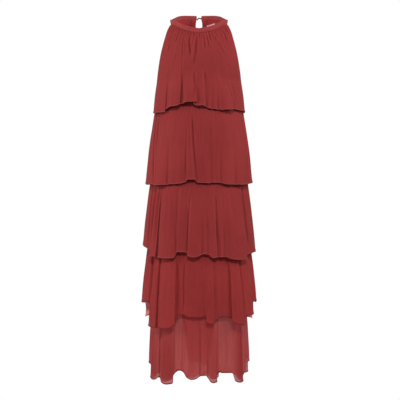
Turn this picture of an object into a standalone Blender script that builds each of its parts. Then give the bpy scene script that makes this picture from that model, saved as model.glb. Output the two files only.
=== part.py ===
# A sleeveless halter dress with five flounces, in its worn, hollow form.
# The origin is the middle of the neck opening; +Z is up and the front faces -Y.
# Cloth pieces are closed walls; angles run round the body from 0 at centre front,
# through 90 at the left side seam (+X) and 180 at centre back. Left and right are the
# wearer's own.
import bpy
import numpy as np
from collections import namedtuple

mm = 0.001

wallThickness = 1.2 * mm
seamGap = 0.4 * mm
sharpAngle = 60.0

# neckband: outer plan and cross-section
bandHalfWidth = 98.5 * mm
bandFront = 75.5 * mm
bandBack = 60.0 * mm
bandHeight = 16.0 * mm
bandThickness = 3.8 * mm
bandEndAngle = 175.4
bandStep = 5.0

# keyhole below the opening of the band
keyholeTopHalf = 8.5 * mm
keyholeHalf = 11.0 * mm
keyholeWideZ = 0.0
keyholeDrop = 70.0 * mm
facingWidth = 13.0 * mm
facingInset = 0.9 * mm
facingThickness = 1.0 * mm
facingEdge = 0.2 * mm

# how far below the neckband the bodice and the slip leave its outline
neckBlend = 34.0 * mm
bodiceInset = 0.6 * mm
slipInset = 2.8 * mm
slipEase = 5.5 * mm
underarmZ = -205.0 * mm
chestZ = -130.0 * mm

# button, square to the outside of the band's left end: radius, distance from the band (mm)
buttonX = 14.5 * mm
buttonProfile = [(1.8, 0.3), (1.8, 2.5), (4.6, 2.7), (5.5, 3.6), (5.3, 4.8), (3.8, 6.0), (1.6, 6.5)]
buttonSides = 16

# the loop runs from the right edge of the keyhole round the button's neck and back:
# across (mm), outside the band's face (mm), height (mm), half the space between strands (mm)
loopRadius = 0.75 * mm
loopCourse = [
    (-6.95, -1.3, 20.6, 1.0), (-4.6, -0.9, 24.2, 1.0), (-1, 0.2, 27.0, 1.0),
    (3, 0.9, 27.0, 1.0), (7, 1.2, 25.6, 1.1), (10, 1.2, 26.0, 2.0), (12.5, 1.2, 27.0, 2.8),
]
loopTurn = 2.8 * mm
loopTurnSteps = 7

labelInset = 1.1 * mm
labelAngles = (163.0, 144.0)
labelTop = (1.6 * mm, 7.8 * mm)
labelHeight = 42.0 * mm

clothColour = (0.259, 0.031, 0.031)
slipColour = (0.231, 0.027, 0.027)
labelColour = (0.78, 0.66, 0.64)

# gathers below the neckband: full height this far down, then gone between two depths
gatherRise = 14.0 * mm
gatherHold = 30.0 * mm
gatherFade = 80.0 * mm

# share of the first flounce's height that stays free of its lower folds
bodicePlain = 0.35

# how much deeper than its table row each fold of the four lower flounces is, and how
# fast it grows on its way down
flounceRelief = 1.35
flounceGrowth = 0.8

Section = namedtuple("Section", "z halfWidth frontEdge front backEdge back")
Fold = namedtuple("Fold", "angle out drop reach")
BodiceFold = namedtuple("BodiceFold", "angle out drop gather")
Tier = namedtuple("Tier", "name hem sections folds")

# top edge of the neckband: angle (degrees), height (mm)
neckCourse = [
    (0, -31), (19, -25), (35, -16), (52, -3), (70, 6), (90, 10.5),
    (104, 14), (120, 22), (131, 29), (142, 33), (160, 35), (180, 35),
]

# body of the first flounce, mm: height, half width, depth of the front panel's edge,
# depth at centre front, depth of the back panel's edge, depth at centre back
bodiceSections = [
    Section(30, 93, 0, 68, 0, 59),
    Section(0, 96, 6, 71, 9, 68),
    Section(-30, 108, 30, 76, 32, 80),
    Section(-60, 117, 42, 87, 44, 89),
    Section(-100, 127, 48, 103, 50, 97),
    Section(-140, 135, 41, 115, 43, 101),
    Section(-180, 140, 19, 121, 20, 103),
    Section(-205, 143, 0, 124, 0, 104),
    Section(-250, 149, 0, 127, 0, 107),
    Section(-300, 152.5, 0, 129, 0, 112),
]

# crests and valleys of each hem in the order in which the cloth runs round:
# angle (degrees), outward (mm), hem below the tier's line (mm), and for the first
# flounce the outward gather just below the neckband (mm)
bodiceHem = -300.0 * mm
bodiceFolds = [
    BodiceFold(-90, 1, 3, 0.0), BodiceFold(-73, 4, 9, 1.0),
    BodiceFold(-58, -2, 12, -0.6), BodiceFold(-47, 5, 11, 1.6),
    BodiceFold(-40, -3, -2, -0.5), BodiceFold(-31, 4, -7, 2.0),
    BodiceFold(-22, -4, -13, -0.8), BodiceFold(-14, 6, -19, 2.8),
    BodiceFold(-5, 3, -20, -0.8), BodiceFold(0, -3, -8, 2.2),
    BodiceFold(7, -4, -6, -0.8), BodiceFold(17, 3, 4, 2.4),
    BodiceFold(30, 6, 6, -0.4), BodiceFold(42, 1, 1, 1.8),
    BodiceFold(52, -4, 0, -0.5), BodiceFold(65, 4, 4, 1.2),
    BodiceFold(78, 2, 6, -0.3), BodiceFold(90, 1, 3, 0.0),
    BodiceFold(101, -1, 1, 1.2), BodiceFold(113, 4, 6, -0.5),
    BodiceFold(126, -2, 3, 1.8), BodiceFold(139, 5, -4, -0.6),
    BodiceFold(150, -3, -9, 1.6), BodiceFold(160, 4, -3, -0.4),
    BodiceFold(170, 1, 2, 1.0), BodiceFold(180, 0, 3, 0.0),
    BodiceFold(190, -3, 0, 1.1), BodiceFold(201, 5, -6, -0.5),
    BodiceFold(212, -3, -4, 1.7), BodiceFold(226, 4, 4, -0.5),
    BodiceFold(240, -3, 8, 1.4), BodiceFold(255, 3, 5, -0.3),
    BodiceFold(270, 1, 3, 0.0),
]

# the four flounces that are sewn to the slip. Sections as above, without edges;
# folds carry the share of the height that each one reaches up from the hem.
tiers = [
    Tier("tier2", -545 * mm, [
        Section(-258, 143.5, 0, 112, 0, 98),
        Section(-306, 149.5, 0, 118, 0, 104),
        Section(-420, 164.5, 0, 129, 0, 116),
        Section(-545, 177.5, 0, 144, 0, 131),
    ], [
        Fold(-90, 2, -8, 1), Fold(-77, 5, -2, 0.9), Fold(-63, -3, 4, 0.8), Fold(-49, 7, 8, 1),
        Fold(-38, -2, 8, 0.6), Fold(-28, 4, 4, 0.7), Fold(-19, -3, -1, 0.7),
        Fold(-14, -5, -5, 1), Fold(-7, 6, -10, 0.9), Fold(-1, -4, -4, 1), Fold(6, 4, 2, 0.8),
        Fold(13, -3, 1, 0.6), Fold(19, 4, 0, 0.7), Fold(25, -3, 1, 0.9), Fold(32, 5, 6, 0.8),
        Fold(39, -1, 6, 0.5), Fold(47, 8, 6, 1), Fold(54, -4, 6, 1), Fold(64, 4, 5, 0.7),
        Fold(77, -2, -4, 0.8), Fold(90, 2, -8, 1),
        Fold(101, -3, -2, 0.8), Fold(112, 6, 5, 0.9), Fold(122, -4, 3, 1), Fold(131, 4, -3, 0.6),
        Fold(139, -3, -8, 0.8), Fold(149, 7, -4, 1), Fold(157, -2, 2, 0.7), Fold(165, 4, 5, 0.6),
        Fold(172, -4, 1, 0.9), Fold(180, 5, -5, 0.8), Fold(188, -3, -2, 1), Fold(197, 4, 4, 0.7),
        Fold(207, -4, 6, 0.9), Fold(217, 6, 1, 1), Fold(226, -3, -4, 0.7), Fold(236, 4, 3, 0.8),
        Fold(247, -3, 5, 0.9), Fold(258, 5, -2, 0.8), Fold(270, 2, -8, 1),
    ]),
    Tier("tier3", -780 * mm, [
        Section(-500, 158, 0, 124, 0, 112),
        Section(-561, 165, 0, 131.5, 0, 119.5),
        Section(-670, 179, 0, 142, 0, 130),
        Section(-780, 188, 0, 154, 0, 142),
    ], [
        Fold(-90, 2, -30, 1), Fold(-79, 5, -25, 0.9), Fold(-67, 3, -12, 1), Fold(-60, -6, 4, 1),
        Fold(-52, 7, 7, 0.9), Fold(-45, -6, 9, 1), Fold(-36, 5, 12, 0.7), Fold(-29, 3, 8, 0.8),
        Fold(-23, -5, -9, 0.9), Fold(-17, 2, -9, 0.6), Fold(-13, -5, -5, 1), Fold(-9, 6, 4, 0.9),
        Fold(-3, 4, 7, 0.7), Fold(3, -3, -3, 0.8), Fold(10, 4, 1, 0.7), Fold(17, 6, 10, 0.9),
        Fold(23, -4, 7, 0.8), Fold(29, 4, 9, 0.7), Fold(36, 5, 16, 0.8), Fold(46, 7, 18, 1),
        Fold(54, -5, 18, 1), Fold(62, 4, 4, 0.9), Fold(76, 4, -10, 0.8), Fold(90, 2, -20, 1),
        Fold(100, -4, -12, 0.9), Fold(109, 6, 2, 1), Fold(118, -5, 8, 0.8), Fold(127, 5, 10, 0.7),
        Fold(136, -4, 2, 1), Fold(145, 7, -5, 0.9), Fold(153, -3, -8, 0.6), Fold(161, 5, 3, 0.8),
        Fold(169, -5, 9, 1), Fold(177, 6, 12, 0.8), Fold(185, -3, 5, 0.7), Fold(193, 5, -3, 0.9),
        Fold(202, -5, -7, 1), Fold(212, 7, 2, 0.8), Fold(221, -4, 9, 0.9), Fold(231, 5, 11, 0.7),
        Fold(241, -5, 1, 1), Fold(252, 6, -9, 0.9), Fold(262, -2, -22, 0.8), Fold(270, 2, -30, 1),
    ]),
    Tier("tier4", -995 * mm, [
        Section(-725, 168, 0, 134, 0, 122),
        Section(-792, 176, 0, 141, 0, 129),
        Section(-890, 186.5, 0, 151, 0, 139),
        Section(-995, 192, 0, 162, 0, 150),
    ], [
        Fold(-90, 3, -57, 1), Fold(-78, 5, -57, 0.9), Fold(-65, 5, -55, 1), Fold(-59, -6, -30, 1),
        Fold(-53, 5, 20, 0.8), Fold(-45, -6, 26, 1), Fold(-37, 7, 26, 0.9), Fold(-28, 6, 18, 0.8),
        Fold(-22, -4, -2, 1), Fold(-17, -6, -20, 0.9), Fold(-12, 3, -18, 0.8), Fold(-5, 6, -12, 0.9),
        Fold(2, 3, -18, 0.6), Fold(7, -5, -8, 1), Fold(11, 6, 7, 0.9), Fold(15, -4, -1, 0.9),
        Fold(21, -2, -13, 0.7), Fold(27, -5, -10, 0.9), Fold(32, 5, 6, 1), Fold(41, 7, 14, 0.8),
        Fold(50, 4, 22, 0.9), Fold(56, -5, -7, 1), Fold(66, 5, -10, 0.8), Fold(76, -2, -38, 0.9),
        Fold(83, 4, -58, 0.8), Fold(90, 3, -50, 1),
        Fold(99, -5, -24, 0.9), Fold(107, 5, -4, 1), Fold(115, -4, 8, 0.8), Fold(123, 6, 16, 0.9),
        Fold(131, -6, 12, 1), Fold(139, 5, -2, 0.7), Fold(147, -5, -14, 0.9), Fold(156, 7, -8, 1),
        Fold(164, -4, 6, 0.8), Fold(172, 6, 14, 0.9), Fold(180, -5, 8, 1), Fold(188, 5, -6, 0.7),
        Fold(196, -5, -12, 0.9), Fold(205, 7, 0, 1), Fold(213, -4, 12, 0.8), Fold(222, 6, 18, 0.9),
        Fold(229, -5, 8, 1), Fold(237, 6, -4, 0.8), Fold(245, -4, -2, 0.9), Fold(253, 5, 3, 1),
        Fold(262, -2, -28, 0.9), Fold(270, 3, -57, 1),
    ]),
    Tier("tier5", -1175 * mm, [
        Section(-915, 155, 0, 134, 0, 120),
        Section(-1010, 162, 0, 149, 0, 132),
        Section(-1090, 165.5, 0, 152, 0, 136),
        Section(-1175, 167, 0, 154, 0, 140),
    ], [
        Fold(-90, 2, -28, 1), Fold(-79, 4, -25, 0.9), Fold(-69, -4, -18, 1), Fold(-62, 4, 2, 0.9),
        Fold(-56, 7, 18, 0.9), Fold(-50, -5, 8, 1), Fold(-44, 4, 24, 0.8), Fold(-38, 8, 30, 0.9),
        Fold(-33, 3, 20, 0.8), Fold(-29, -5, -9, 1), Fold(-23, 4, -18, 1), Fold(-17, -4, -14, 0.9),
        Fold(-12, 4, 0, 0.8), Fold(-6, 6, 9, 0.9), Fold(0, -3, 0, 0.7), Fold(7, -2, -3, 0.8),
        Fold(12, 6, 15, 0.9), Fold(17, 8, 22, 1), Fold(21, -5, 2, 1), Fold(26, 3, -12, 0.9),
        Fold(34, 4, -7, 0.8), Fold(41, -4, 0, 0.9), Fold(46, 5, 22, 0.8), Fold(52, 8, 28, 1),
        Fold(58, 3, 20, 0.8), Fold(63, -5, 0, 1), Fold(72, 5, -9, 0.9), Fold(81, -2, -24, 0.8),
        Fold(90, 2, -28, 1),
        Fold(98, -4, 14, 1), Fold(105, 4, 16, 0.9), Fold(114, -4, 30, 0.9), Fold(123, 8, 58, 1),
        Fold(132, -4, 40, 1), Fold(140, 3, 34, 0.7), Fold(148, -4, 34, 0.9), Fold(155, 2, 46, 0.9),
        Fold(163, 8, 64, 1), Fold(171, -4, 40, 1), Fold(178, 2, 40, 0.8), Fold(188, 6, 59, 0.9),
        Fold(198, -3, 42, 0.9), Fold(205, -5, 30, 1), Fold(212, 3, 48, 0.9), Fold(222, 8, 66, 1),
        Fold(231, 2, 50, 0.9), Fold(237, -5, 30, 1), Fold(243, 5, 38, 0.9), Fold(251, 6, 34, 1),
        Fold(258, -3, -8, 0.9), Fold(264, 3, -20, 0.9), Fold(270, 2, -28, 1),
    ]),
]

# hem of the slip: angle (degrees), height (mm); it dips only at centre front
slipHem = [
    (-90, -965), (-26, -965), (-21, -975), (-17.5, -1040), (-14, -1112), (-9, -1128),
    (0, -1132), (6, -1138), (11, -1128), (15, -1088), (18.5, -1020), (22, -972), (27, -965),
    (90, -965), (270, -965),
]
slipHemSection = Section(-1140, 152, 0, 131, 0, 118)
waistZ = tiers[0].sections[0].z * mm

# heights at which a panel has a row of points, as shares of its own height
frontRows = (0.0, 0.05, 0.15, 0.33, 0.5, 0.68, 1.0)
backRows = (0.0, 0.08, 0.17, 0.235, 0.275, 0.292, 0.45, 0.68, 1.0)
tierRows = (0.0, 0.42, 1.0)
slipFrontRows = (0.0, 0.35, 1.0)
slipBackRows = (0.0, 0.3, 0.58, 0.8, 0.94, 1.0)
slipSideAngles = (-90, -82, -73, -63, -48, -34)
slipDipAngle = 25.0
slipDipColumns = 15
slipFrontColumns = 19
slipBackColumns = 10


def smooth(x, xs, ys):
    # cubic curve through the rows of a table, straight beyond its ends
    xs = np.asarray(xs, float)
    ys = np.asarray(ys, float)
    slope = np.gradient(ys, xs)
    i = np.clip(np.searchsorted(xs, x) - 1, 0, len(xs) - 2)
    h = xs[i + 1] - xs[i]
    t = np.clip((x - xs[i]) / h, 0, 1)
    inside = ((1 + 2 * t) * (1 - t) ** 2 * ys[i] + t * (1 - t) ** 2 * h * slope[i]
              + t ** 2 * (3 - 2 * t) * ys[i + 1] + t ** 2 * (t - 1) * h * slope[i + 1])
    below = slope[0] * np.minimum(x - xs[0], 0)
    above = slope[-1] * np.maximum(x - xs[-1], 0)
    return inside + below + above


def ease(t):
    t = np.clip(t, 0, 1)
    return t * t * (3 - 2 * t)


def column(rows, name):
    return np.array([getattr(row, name) for row in rows], float)


def ringPoint(sections, angle, z, isFront):
    # point and outward direction on the body at an angle and a height
    rows = sorted(sections, key=lambda row: row.z)
    heights = column(rows, "z") * mm
    half, frontEdge, front, backEdge, back = [
        smooth(z, heights, column(rows, name) * mm)
        for name in ("halfWidth", "frontEdge", "front", "backEdge", "back")]
    turn = np.radians(angle)
    edge = np.maximum(frontEdge if isFront else backEdge, 0)
    edge = np.where(z <= underarmZ, 0, edge)
    reach = (front if isFront else back) - edge
    x = half * np.sin(turn)
    y = (-1 if isFront else 1) * edge - reach * np.cos(turn)
    normal = np.stack([reach * np.sin(turn), -half * np.cos(turn), np.zeros_like(x)], -1)
    normal /= np.linalg.norm(normal, axis=-1, keepdims=True)
    return np.stack([x, y, z + 0 * x], -1), normal


def bandPoint(angle, inset):
    turn = np.radians(angle)
    depth = np.where(np.cos(turn) >= 0, bandFront, bandBack) - inset
    x = (bandHalfWidth - inset) * np.sin(turn)
    y = -depth * np.cos(turn)
    return np.stack([x, y, 0 * x], -1)


def courseHeight(angle):
    # height of the band's top edge; the course is the same left and right
    folded = np.abs((np.asarray(angle, float) + 180) % 360 - 180)
    angles = [row[0] for row in neckCourse]
    heights = [row[1] * mm for row in neckCourse]
    return smooth(folded, angles, heights)


def bandFoot(angle):
    return courseHeight(angle) - bandHeight - seamGap


def hungPoint(sections, angle, z, inset, isFront):
    # a point below the band: on the band's outline at its foot, on the body further down
    point, normal = ringPoint(sections, angle, z, isFront)
    foot = bandFoot(angle)
    start, _ = ringPoint(sections, angle, foot, isFront)
    share = 1 - ease((foot - z) / neckBlend)
    point[..., :2] += (bandPoint(angle, inset) - start)[..., :2] * share[..., None]
    return point, normal


def slipSections():
    # the slip lies inside the bodice and just inside the top edge of each flounce
    rows = []
    ease_mm = slipEase / mm
    for row in bodiceSections:
        if row.z > underarmZ / mm - 1:
            rows.append(Section(row.z, row.halfWidth - ease_mm, row.frontEdge,
                                row.front - ease_mm, row.backEdge, row.back - ease_mm))
    inside = (wallThickness + seamGap) / mm
    for tier in tiers:
        top = tier.sections[0]
        rows.append(Section(top.z, top.halfWidth - inside, 0, top.front - inside, 0,
                            top.back - inside))
    rows.append(slipHemSection)
    return rows


def slipPoint(angle, z, isFront=False):
    return hungPoint(slipSections(), angle, z, slipInset, isFront)


def keyholeEdge(z):
    # half width of the keyhole at a height: nearly straight above, a half ellipse below
    rise = np.clip((z - keyholeWideZ) / (bandFoot(180.0) - keyholeWideZ), 0, 1)
    fall = np.clip((keyholeWideZ - z) / keyholeDrop, 0, 1)
    upper = keyholeHalf - (keyholeHalf - keyholeTopHalf) * rise ** 2
    return np.maximum(np.where(z >= keyholeWideZ, upper, keyholeHalf * np.sqrt(1 - fall ** 2)),
                      seamGap / 2)


def splitAtCentreBack(sections, angle, centreHeight):
    # moves each row of a back panel's columns so that its inner edge follows the keyhole
    half = ringPoint(sections, 90 + 0 * centreHeight, centreHeight, False)[0][:, 0]
    edge = np.degrees(np.arcsin(keyholeEdge(centreHeight) / half))[:, None]
    side = 1 if angle.max() <= 180 else -1
    fromCentre = np.abs(180 - angle)
    return 180 - side * (edge + fromCentre * (90 - edge) / 90)


def makeMaterial(name, colour, roughness):
    material = bpy.data.materials.new(name)
    material.use_nodes = True
    shader = material.node_tree.nodes["Principled BSDF"]
    shader.inputs["Base Color"].default_value = (*colour, 1.0)
    shader.inputs["Roughness"].default_value = roughness
    shader.inputs["Metallic"].default_value = 0.0
    return material


def addObject(name, vertices, faces, colour, roughness=0.8):
    mesh = bpy.data.meshes.new(name)
    mesh.from_pydata([tuple(point) for point in vertices], [], faces)
    mesh.update()
    mesh.shade_smooth()
    mesh.set_sharp_from_angle(angle=np.radians(sharpAngle))
    mesh.materials.append(makeMaterial(name + "_finish", colour, roughness))
    item = bpy.data.objects.new(name, mesh)
    bpy.context.scene.collection.objects.link(item)
    return item


def gridNormals(grid):
    along = np.gradient(grid, axis=1)
    down = np.gradient(grid, axis=0)
    normal = np.cross(down, along)
    return normal / np.linalg.norm(normal, axis=-1, keepdims=True)


def wallFaces(rows, columns):
    # faces of a closed wall: outer grid first, then the inner grid
    faces = []
    inner = rows * columns

    def index(i, j):
        return i * columns + j

    for i in range(rows - 1):
        for j in range(columns - 1):
            quad = (index(i, j), index(i + 1, j), index(i + 1, j + 1), index(i, j + 1))
            faces.append(quad)
            # starts at the same corner, so that both grids split along the same diagonal
            faces.append(tuple(inner + quad[k] for k in (0, 3, 2, 1)))
    border = [index(0, j) for j in range(columns)]
    border += [index(i, columns - 1) for i in range(1, rows)]
    border += [index(rows - 1, j) for j in range(columns - 2, -1, -1)]
    border += [index(i, 0) for i in range(rows - 2, 0, -1)]
    for k, start in enumerate(border):
        end = border[(k + 1) % len(border)]
        faces.append((start, end, inner + end, inner + start))
    return faces


def addWall(name, grid, colour, thickness=wallThickness, flatSides=()):
    # grid of outer points [row, column], columns from -X to +X as seen from outside
    normal = gridNormals(grid)
    for side in flatSides:
        normal[:, side] = (np.sign(grid[-1, side, 0]), 0, 0)
    inner = grid - normal * thickness
    rows, columns = grid.shape[:2]
    vertices = np.concatenate([grid.reshape(-1, 3), inner.reshape(-1, 3)])
    return addObject(name, vertices, wallFaces(rows, columns), colour)


def foldCurves(folds, first, last, extra):
    # columns at every crest and valley and half way between, from one angle to another
    angles = column(folds, "angle")
    start = int(np.where(angles == first)[0][0])
    end = int(np.where(angles == last)[0][0])
    place = np.arange(start, end + 0.25, 0.5)
    index = np.arange(len(folds))
    return [smooth(place, index, column(folds, name)) for name in ("angle", "out", "drop", extra)]


def openSeams(grid, first, last):
    # moves the columns that lie on a side seam half its gap away, and lists them
    sides = []
    shift = seamGap / 2 * (-1 if first == -90 else 1)
    for side, edge in ((0, first), (-1, last)):
        if edge != 180:
            grid[:, side, 1] += shift
            sides.append(side)
    return sides


def bodicePanel(name, first, last, shares):
    angle, out, drop, gather = foldCurves(bodiceFolds, first, last, "gather")
    share = np.array(shares)[:, None]
    isBack = last > 90
    if isBack:
        middle = bandFoot(180.0)
        angle = splitAtCentreBack(bodiceSections, angle, middle + (bodiceHem - middle) * share[:, 0])
    angle = angle + 0 * share
    top = bandFoot(angle)
    z = top + (bodiceHem - drop * mm - top) * share
    point, normal = hungPoint(bodiceSections, angle, z, bodiceInset, not isBack)
    below = top - z
    gathering = gather * ease(below / gatherRise) * (1 - ease((below - gatherHold) / gatherFade))
    lowerFold = out * np.clip((share - bodicePlain) / (1 - bodicePlain), 0, 1)
    grid = point + normal * ((gathering + lowerFold) * mm)[..., None]
    addWall(name, grid, clothColour, flatSides=openSeams(grid, first, last))


def tierPanel(tier, name, first, last):
    angle, out, drop, reach = foldCurves(tier.folds, first, last, "reach")
    share = np.array(tierRows)[:, None]
    top = tier.sections[0].z * mm
    hem = tier.hem - drop * mm
    z = top + (hem - top) * share
    point, normal = ringPoint(tier.sections, angle + 0 * z, z, first == -90)
    grown = np.clip((share - (1 - reach)) / reach, 0, 1) ** flounceGrowth
    grid = point + normal * (out * grown * flounceRelief * mm)[..., None]
    addWall(name, grid, clothColour, flatSides=openSeams(grid, first, last))


def slipHemHeight(angle):
    wrapped = (np.asarray(angle, float) + 90) % 360 - 90
    return np.interp(wrapped, [row[0] for row in slipHem], [row[1] * mm for row in slipHem])


def addSlipPanel(name, angle, columns, rows):
    # one panel of the slip from the angle and height of each point, opened at its side seams
    first, last = angle[0], angle[-1]
    grid, _ = slipPoint(columns, np.stack(rows), last <= 90)
    addWall(name, grid, slipColour, flatSides=openSeams(grid, first, last))


def slipBodice(name, angle):
    # rows run down to the keyhole's foot, then to the underarm and the waist seam
    isBack = angle[-1] > 90
    upper = np.array(slipBackRows if isBack else slipFrontRows)[:, None]
    lower = [chestZ, underarmZ, waistZ]
    foot = keyholeWideZ - keyholeDrop - seamGap
    if isBack:
        middle = bandFoot(180.0)
        centre = np.concatenate([middle + (foot - middle) * upper[:, 0], lower])
        columns = splitAtCentreBack(slipSections(), angle, centre)
    else:
        columns = angle + np.zeros((len(upper) + len(lower), 1))
    top = bandFoot(columns[0])
    rows = [top + (foot - top) * share for share in upper]
    rows += [0 * top + height for height in lower]
    addSlipPanel(name, angle, columns, rows)


def slipSkirt(name, angle):
    # rows at the waist seam, at the seam of each lower flounce and at the hem
    seams = [waistZ - seamGap] + [tier.sections[0].z * mm for tier in tiers[1:]]
    rows = [0 * angle + height for height in seams] + [slipHemHeight(angle)]
    addSlipPanel(name, angle, angle + np.zeros((len(rows), 1)), rows)


def addSlip():
    side = np.array(slipSideAngles, float)
    dip = np.linspace(-slipDipAngle, slipDipAngle, slipDipColumns)
    slipBodice("slip_bodice_front", np.linspace(-90, 90, slipFrontColumns))
    slipBodice("slip_bodice_back_left", np.linspace(90, 180, slipBackColumns))
    slipBodice("slip_bodice_back_right", np.linspace(180, 270, slipBackColumns))
    slipSkirt("slip_skirt_front", np.concatenate([side, dip, -side[::-1]]))
    slipSkirt("slip_skirt_back", np.linspace(90, 270, 2 * slipBackColumns - 1))


def addNeckband():
    # a strip of rectangular section round the neck, open at centre back
    count = int(2 * bandEndAngle / bandStep) + 1
    angles = np.linspace(-bandEndAngle, bandEndAngle, count)
    top = courseHeight(angles)
    corners = [(0, 0), (0, bandHeight), (bandThickness, bandHeight), (bandThickness, 0)]
    rings = []
    for inset, down in corners:
        ring = bandPoint(angles, inset)
        ring[:, 2] = top - down
        rings.append(ring)
    vertices = np.concatenate(rings)
    faces = []
    for a in range(4):
        b = (a + 1) % 4
        for j in range(count - 1):
            faces.append((a * count + j, b * count + j, b * count + j + 1, a * count + j + 1))
    faces.append(tuple(a * count for a in (3, 2, 1, 0)))
    faces.append(tuple(a * count + count - 1 for a in (0, 1, 2, 3)))
    addObject("neckband", vertices, faces, clothColour)


def addFacing():
    # a U-shaped strip on the inside of the slip, round the keyhole
    turns = np.radians(np.linspace(0, 90, 8))
    upper = np.linspace(bandFoot(180.0), keyholeWideZ, 3)[:-1]
    down = np.concatenate([upper, keyholeWideZ - keyholeDrop * np.sin(turns)])
    across = np.concatenate([keyholeEdge(upper), keyholeHalf * np.cos(turns)])
    x = np.concatenate([-across, across[-2::-1]])
    z = np.concatenate([down, down[-2::-1]])
    outline = np.stack([x, z], -1)
    tangent = np.gradient(outline, axis=0)
    tangent[[0, -1]] = ((0, -1), (0, 1))
    aside = np.stack([tangent[:, 1], -tangent[:, 0]], -1)
    aside /= np.linalg.norm(aside, axis=-1, keepdims=True)
    offsets = np.linspace(facingEdge, facingWidth, 3)[:, None, None]
    flat = outline + aside * offsets
    half, _ = ringPoint(slipSections(), 90 + 0 * flat[..., 1], flat[..., 1], False)
    angle = 180 - np.degrees(np.arcsin(flat[..., 0] / half[..., 0]))
    point, normal = slipPoint(angle, flat[..., 1])
    grid = point - normal * (wallThickness + facingInset)
    addWall("keyhole_facing", grid[:, ::-1], clothColour, thickness=facingThickness)


def addLabel():
    # hangs inside the left back, its top edge rising towards the side
    angle = np.linspace(*labelAngles, 4)[::-1]
    top = np.linspace(*labelTop, 4)[::-1]
    z = top - labelHeight * np.linspace(0, 1, 4)[:, None]
    point, normal = slipPoint(angle + 0 * z, z)
    grid = point - normal * (wallThickness + labelInset)
    addWall("label", grid, labelColour, thickness=facingThickness)


def outsideBand(x, away):
    # point and outward direction beyond the outer face of the back of the band
    turn = np.arcsin(x / bandHalfWidth)
    outward = np.array([bandBack * np.sin(turn), bandHalfWidth * np.cos(turn), 0])
    outward /= np.linalg.norm(outward)
    face = np.array([x, bandBack * np.cos(turn), 0])
    return face + outward * away, outward


def bandMiddle():
    return courseHeight(180.0) - bandHeight / 2


def addButton():
    # a turned, covered button with a neck
    centre, outward = outsideBand(buttonX, 0.0)
    centre = centre + np.array([0, 0, bandMiddle()])
    sideways = np.cross((0, 0, 1), outward)
    turns = np.linspace(0, 2 * np.pi, buttonSides, endpoint=False)[:, None]
    ring = sideways * np.cos(turns) + np.array([0, 0, 1]) * np.sin(turns)
    vertices = np.concatenate([centre + ring * radius * mm + outward * height * mm
                               for radius, height in buttonProfile])
    count = buttonSides
    last = len(buttonProfile) - 1
    faces = [tuple(range(count))[::-1], tuple(range(last * count, (last + 1) * count))]
    for k in range(last):
        for j in range(count):
            n = (j + 1) % count
            faces.append((k * count + j, k * count + n, (k + 1) * count + n, (k + 1) * count + j))
    addObject("button", vertices, faces, clothColour, 0.6)


def addButtonLoop():
    # a thin cord: out along the upper strand, round the neck, back along the lower one
    path = []
    for x, away, z, apart in loopCourse:
        path.append(outsideBand(x * mm, away * mm)[0] + np.array([0, 0, (z + apart) * mm]))
    away = loopCourse[-1][1] * mm
    for turn in np.radians(np.linspace(70, -70, loopTurnSteps)):
        point, _ = outsideBand(buttonX + loopTurn * np.cos(turn), away)
        path.append(point + np.array([0, 0, bandMiddle() + loopTurn * np.sin(turn)]))
    for x, away, z, apart in reversed(loopCourse):
        path.append(outsideBand(x * mm, away * mm)[0] + np.array([0, 0, (z - apart) * mm]))
    curve = bpy.data.curves.new("button_loop", "CURVE")
    curve.dimensions = "3D"
    curve.bevel_depth = loopRadius
    curve.bevel_resolution = 1
    curve.use_fill_caps = True
    spline = curve.splines.new("POLY")
    spline.points.add(len(path) - 1)
    for target, point in zip(spline.points, path):
        target.co = (*point, 1)
    curve.materials.append(makeMaterial("button_loop_finish", slipColour, 0.7))
    item = bpy.data.objects.new("button_loop", curve)
    bpy.context.scene.collection.objects.link(item)


def clearScene():
    for item in list(bpy.data.objects):
        bpy.data.objects.remove(item, do_unlink=True)


clearScene()
addNeckband()
bodicePanel("tier1_front", -90, 90, frontRows)
bodicePanel("tier1_back_left", 90, 180, backRows)
bodicePanel("tier1_back_right", 180, 270, backRows)
for tier in tiers:
    tierPanel(tier, tier.name + "_front", -90, 90)
    tierPanel(tier, tier.name + "_back", 90, 270)
addSlip()
addFacing()
addLabel()
addButton()
addButtonLoop()
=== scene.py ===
from collections import namedtuple

import bpy
import numpy as np
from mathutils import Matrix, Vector


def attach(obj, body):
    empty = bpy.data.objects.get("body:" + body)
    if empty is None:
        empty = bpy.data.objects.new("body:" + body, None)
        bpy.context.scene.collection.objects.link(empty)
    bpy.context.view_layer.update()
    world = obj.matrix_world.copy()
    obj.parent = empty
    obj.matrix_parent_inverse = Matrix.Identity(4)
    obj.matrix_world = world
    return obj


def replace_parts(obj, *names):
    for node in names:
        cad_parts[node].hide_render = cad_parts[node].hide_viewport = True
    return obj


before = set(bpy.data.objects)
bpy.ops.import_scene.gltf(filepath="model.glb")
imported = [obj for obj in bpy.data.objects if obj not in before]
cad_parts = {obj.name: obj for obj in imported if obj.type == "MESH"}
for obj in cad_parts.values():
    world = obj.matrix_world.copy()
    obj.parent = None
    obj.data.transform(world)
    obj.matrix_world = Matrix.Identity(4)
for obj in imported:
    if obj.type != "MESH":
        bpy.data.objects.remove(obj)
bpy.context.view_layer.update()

# A sleeveless halter dress with a bodice and four flounces over a lining, hollow as worn: every
# cloth piece is a thin sheet. The front faces -Y. Angles run round the body: 0 is centre front,
# 90 the side seam at +X, 180 centre back. Plain lengths in the tables are millimetres and
# angles degrees; lengths multiplied by mm, and all arrays, are in metres.
mm = 0.001
print("frame loaded,", len(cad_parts), "nodes")

Section = namedtuple("Section", "z halfWidth frontEdge front backEdge back")
Fold = namedtuple("Fold", "left right out lap deep hemLeft hem hemRight reach")
Crease = namedtuple("Crease", "top foot start end depth width")


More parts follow.
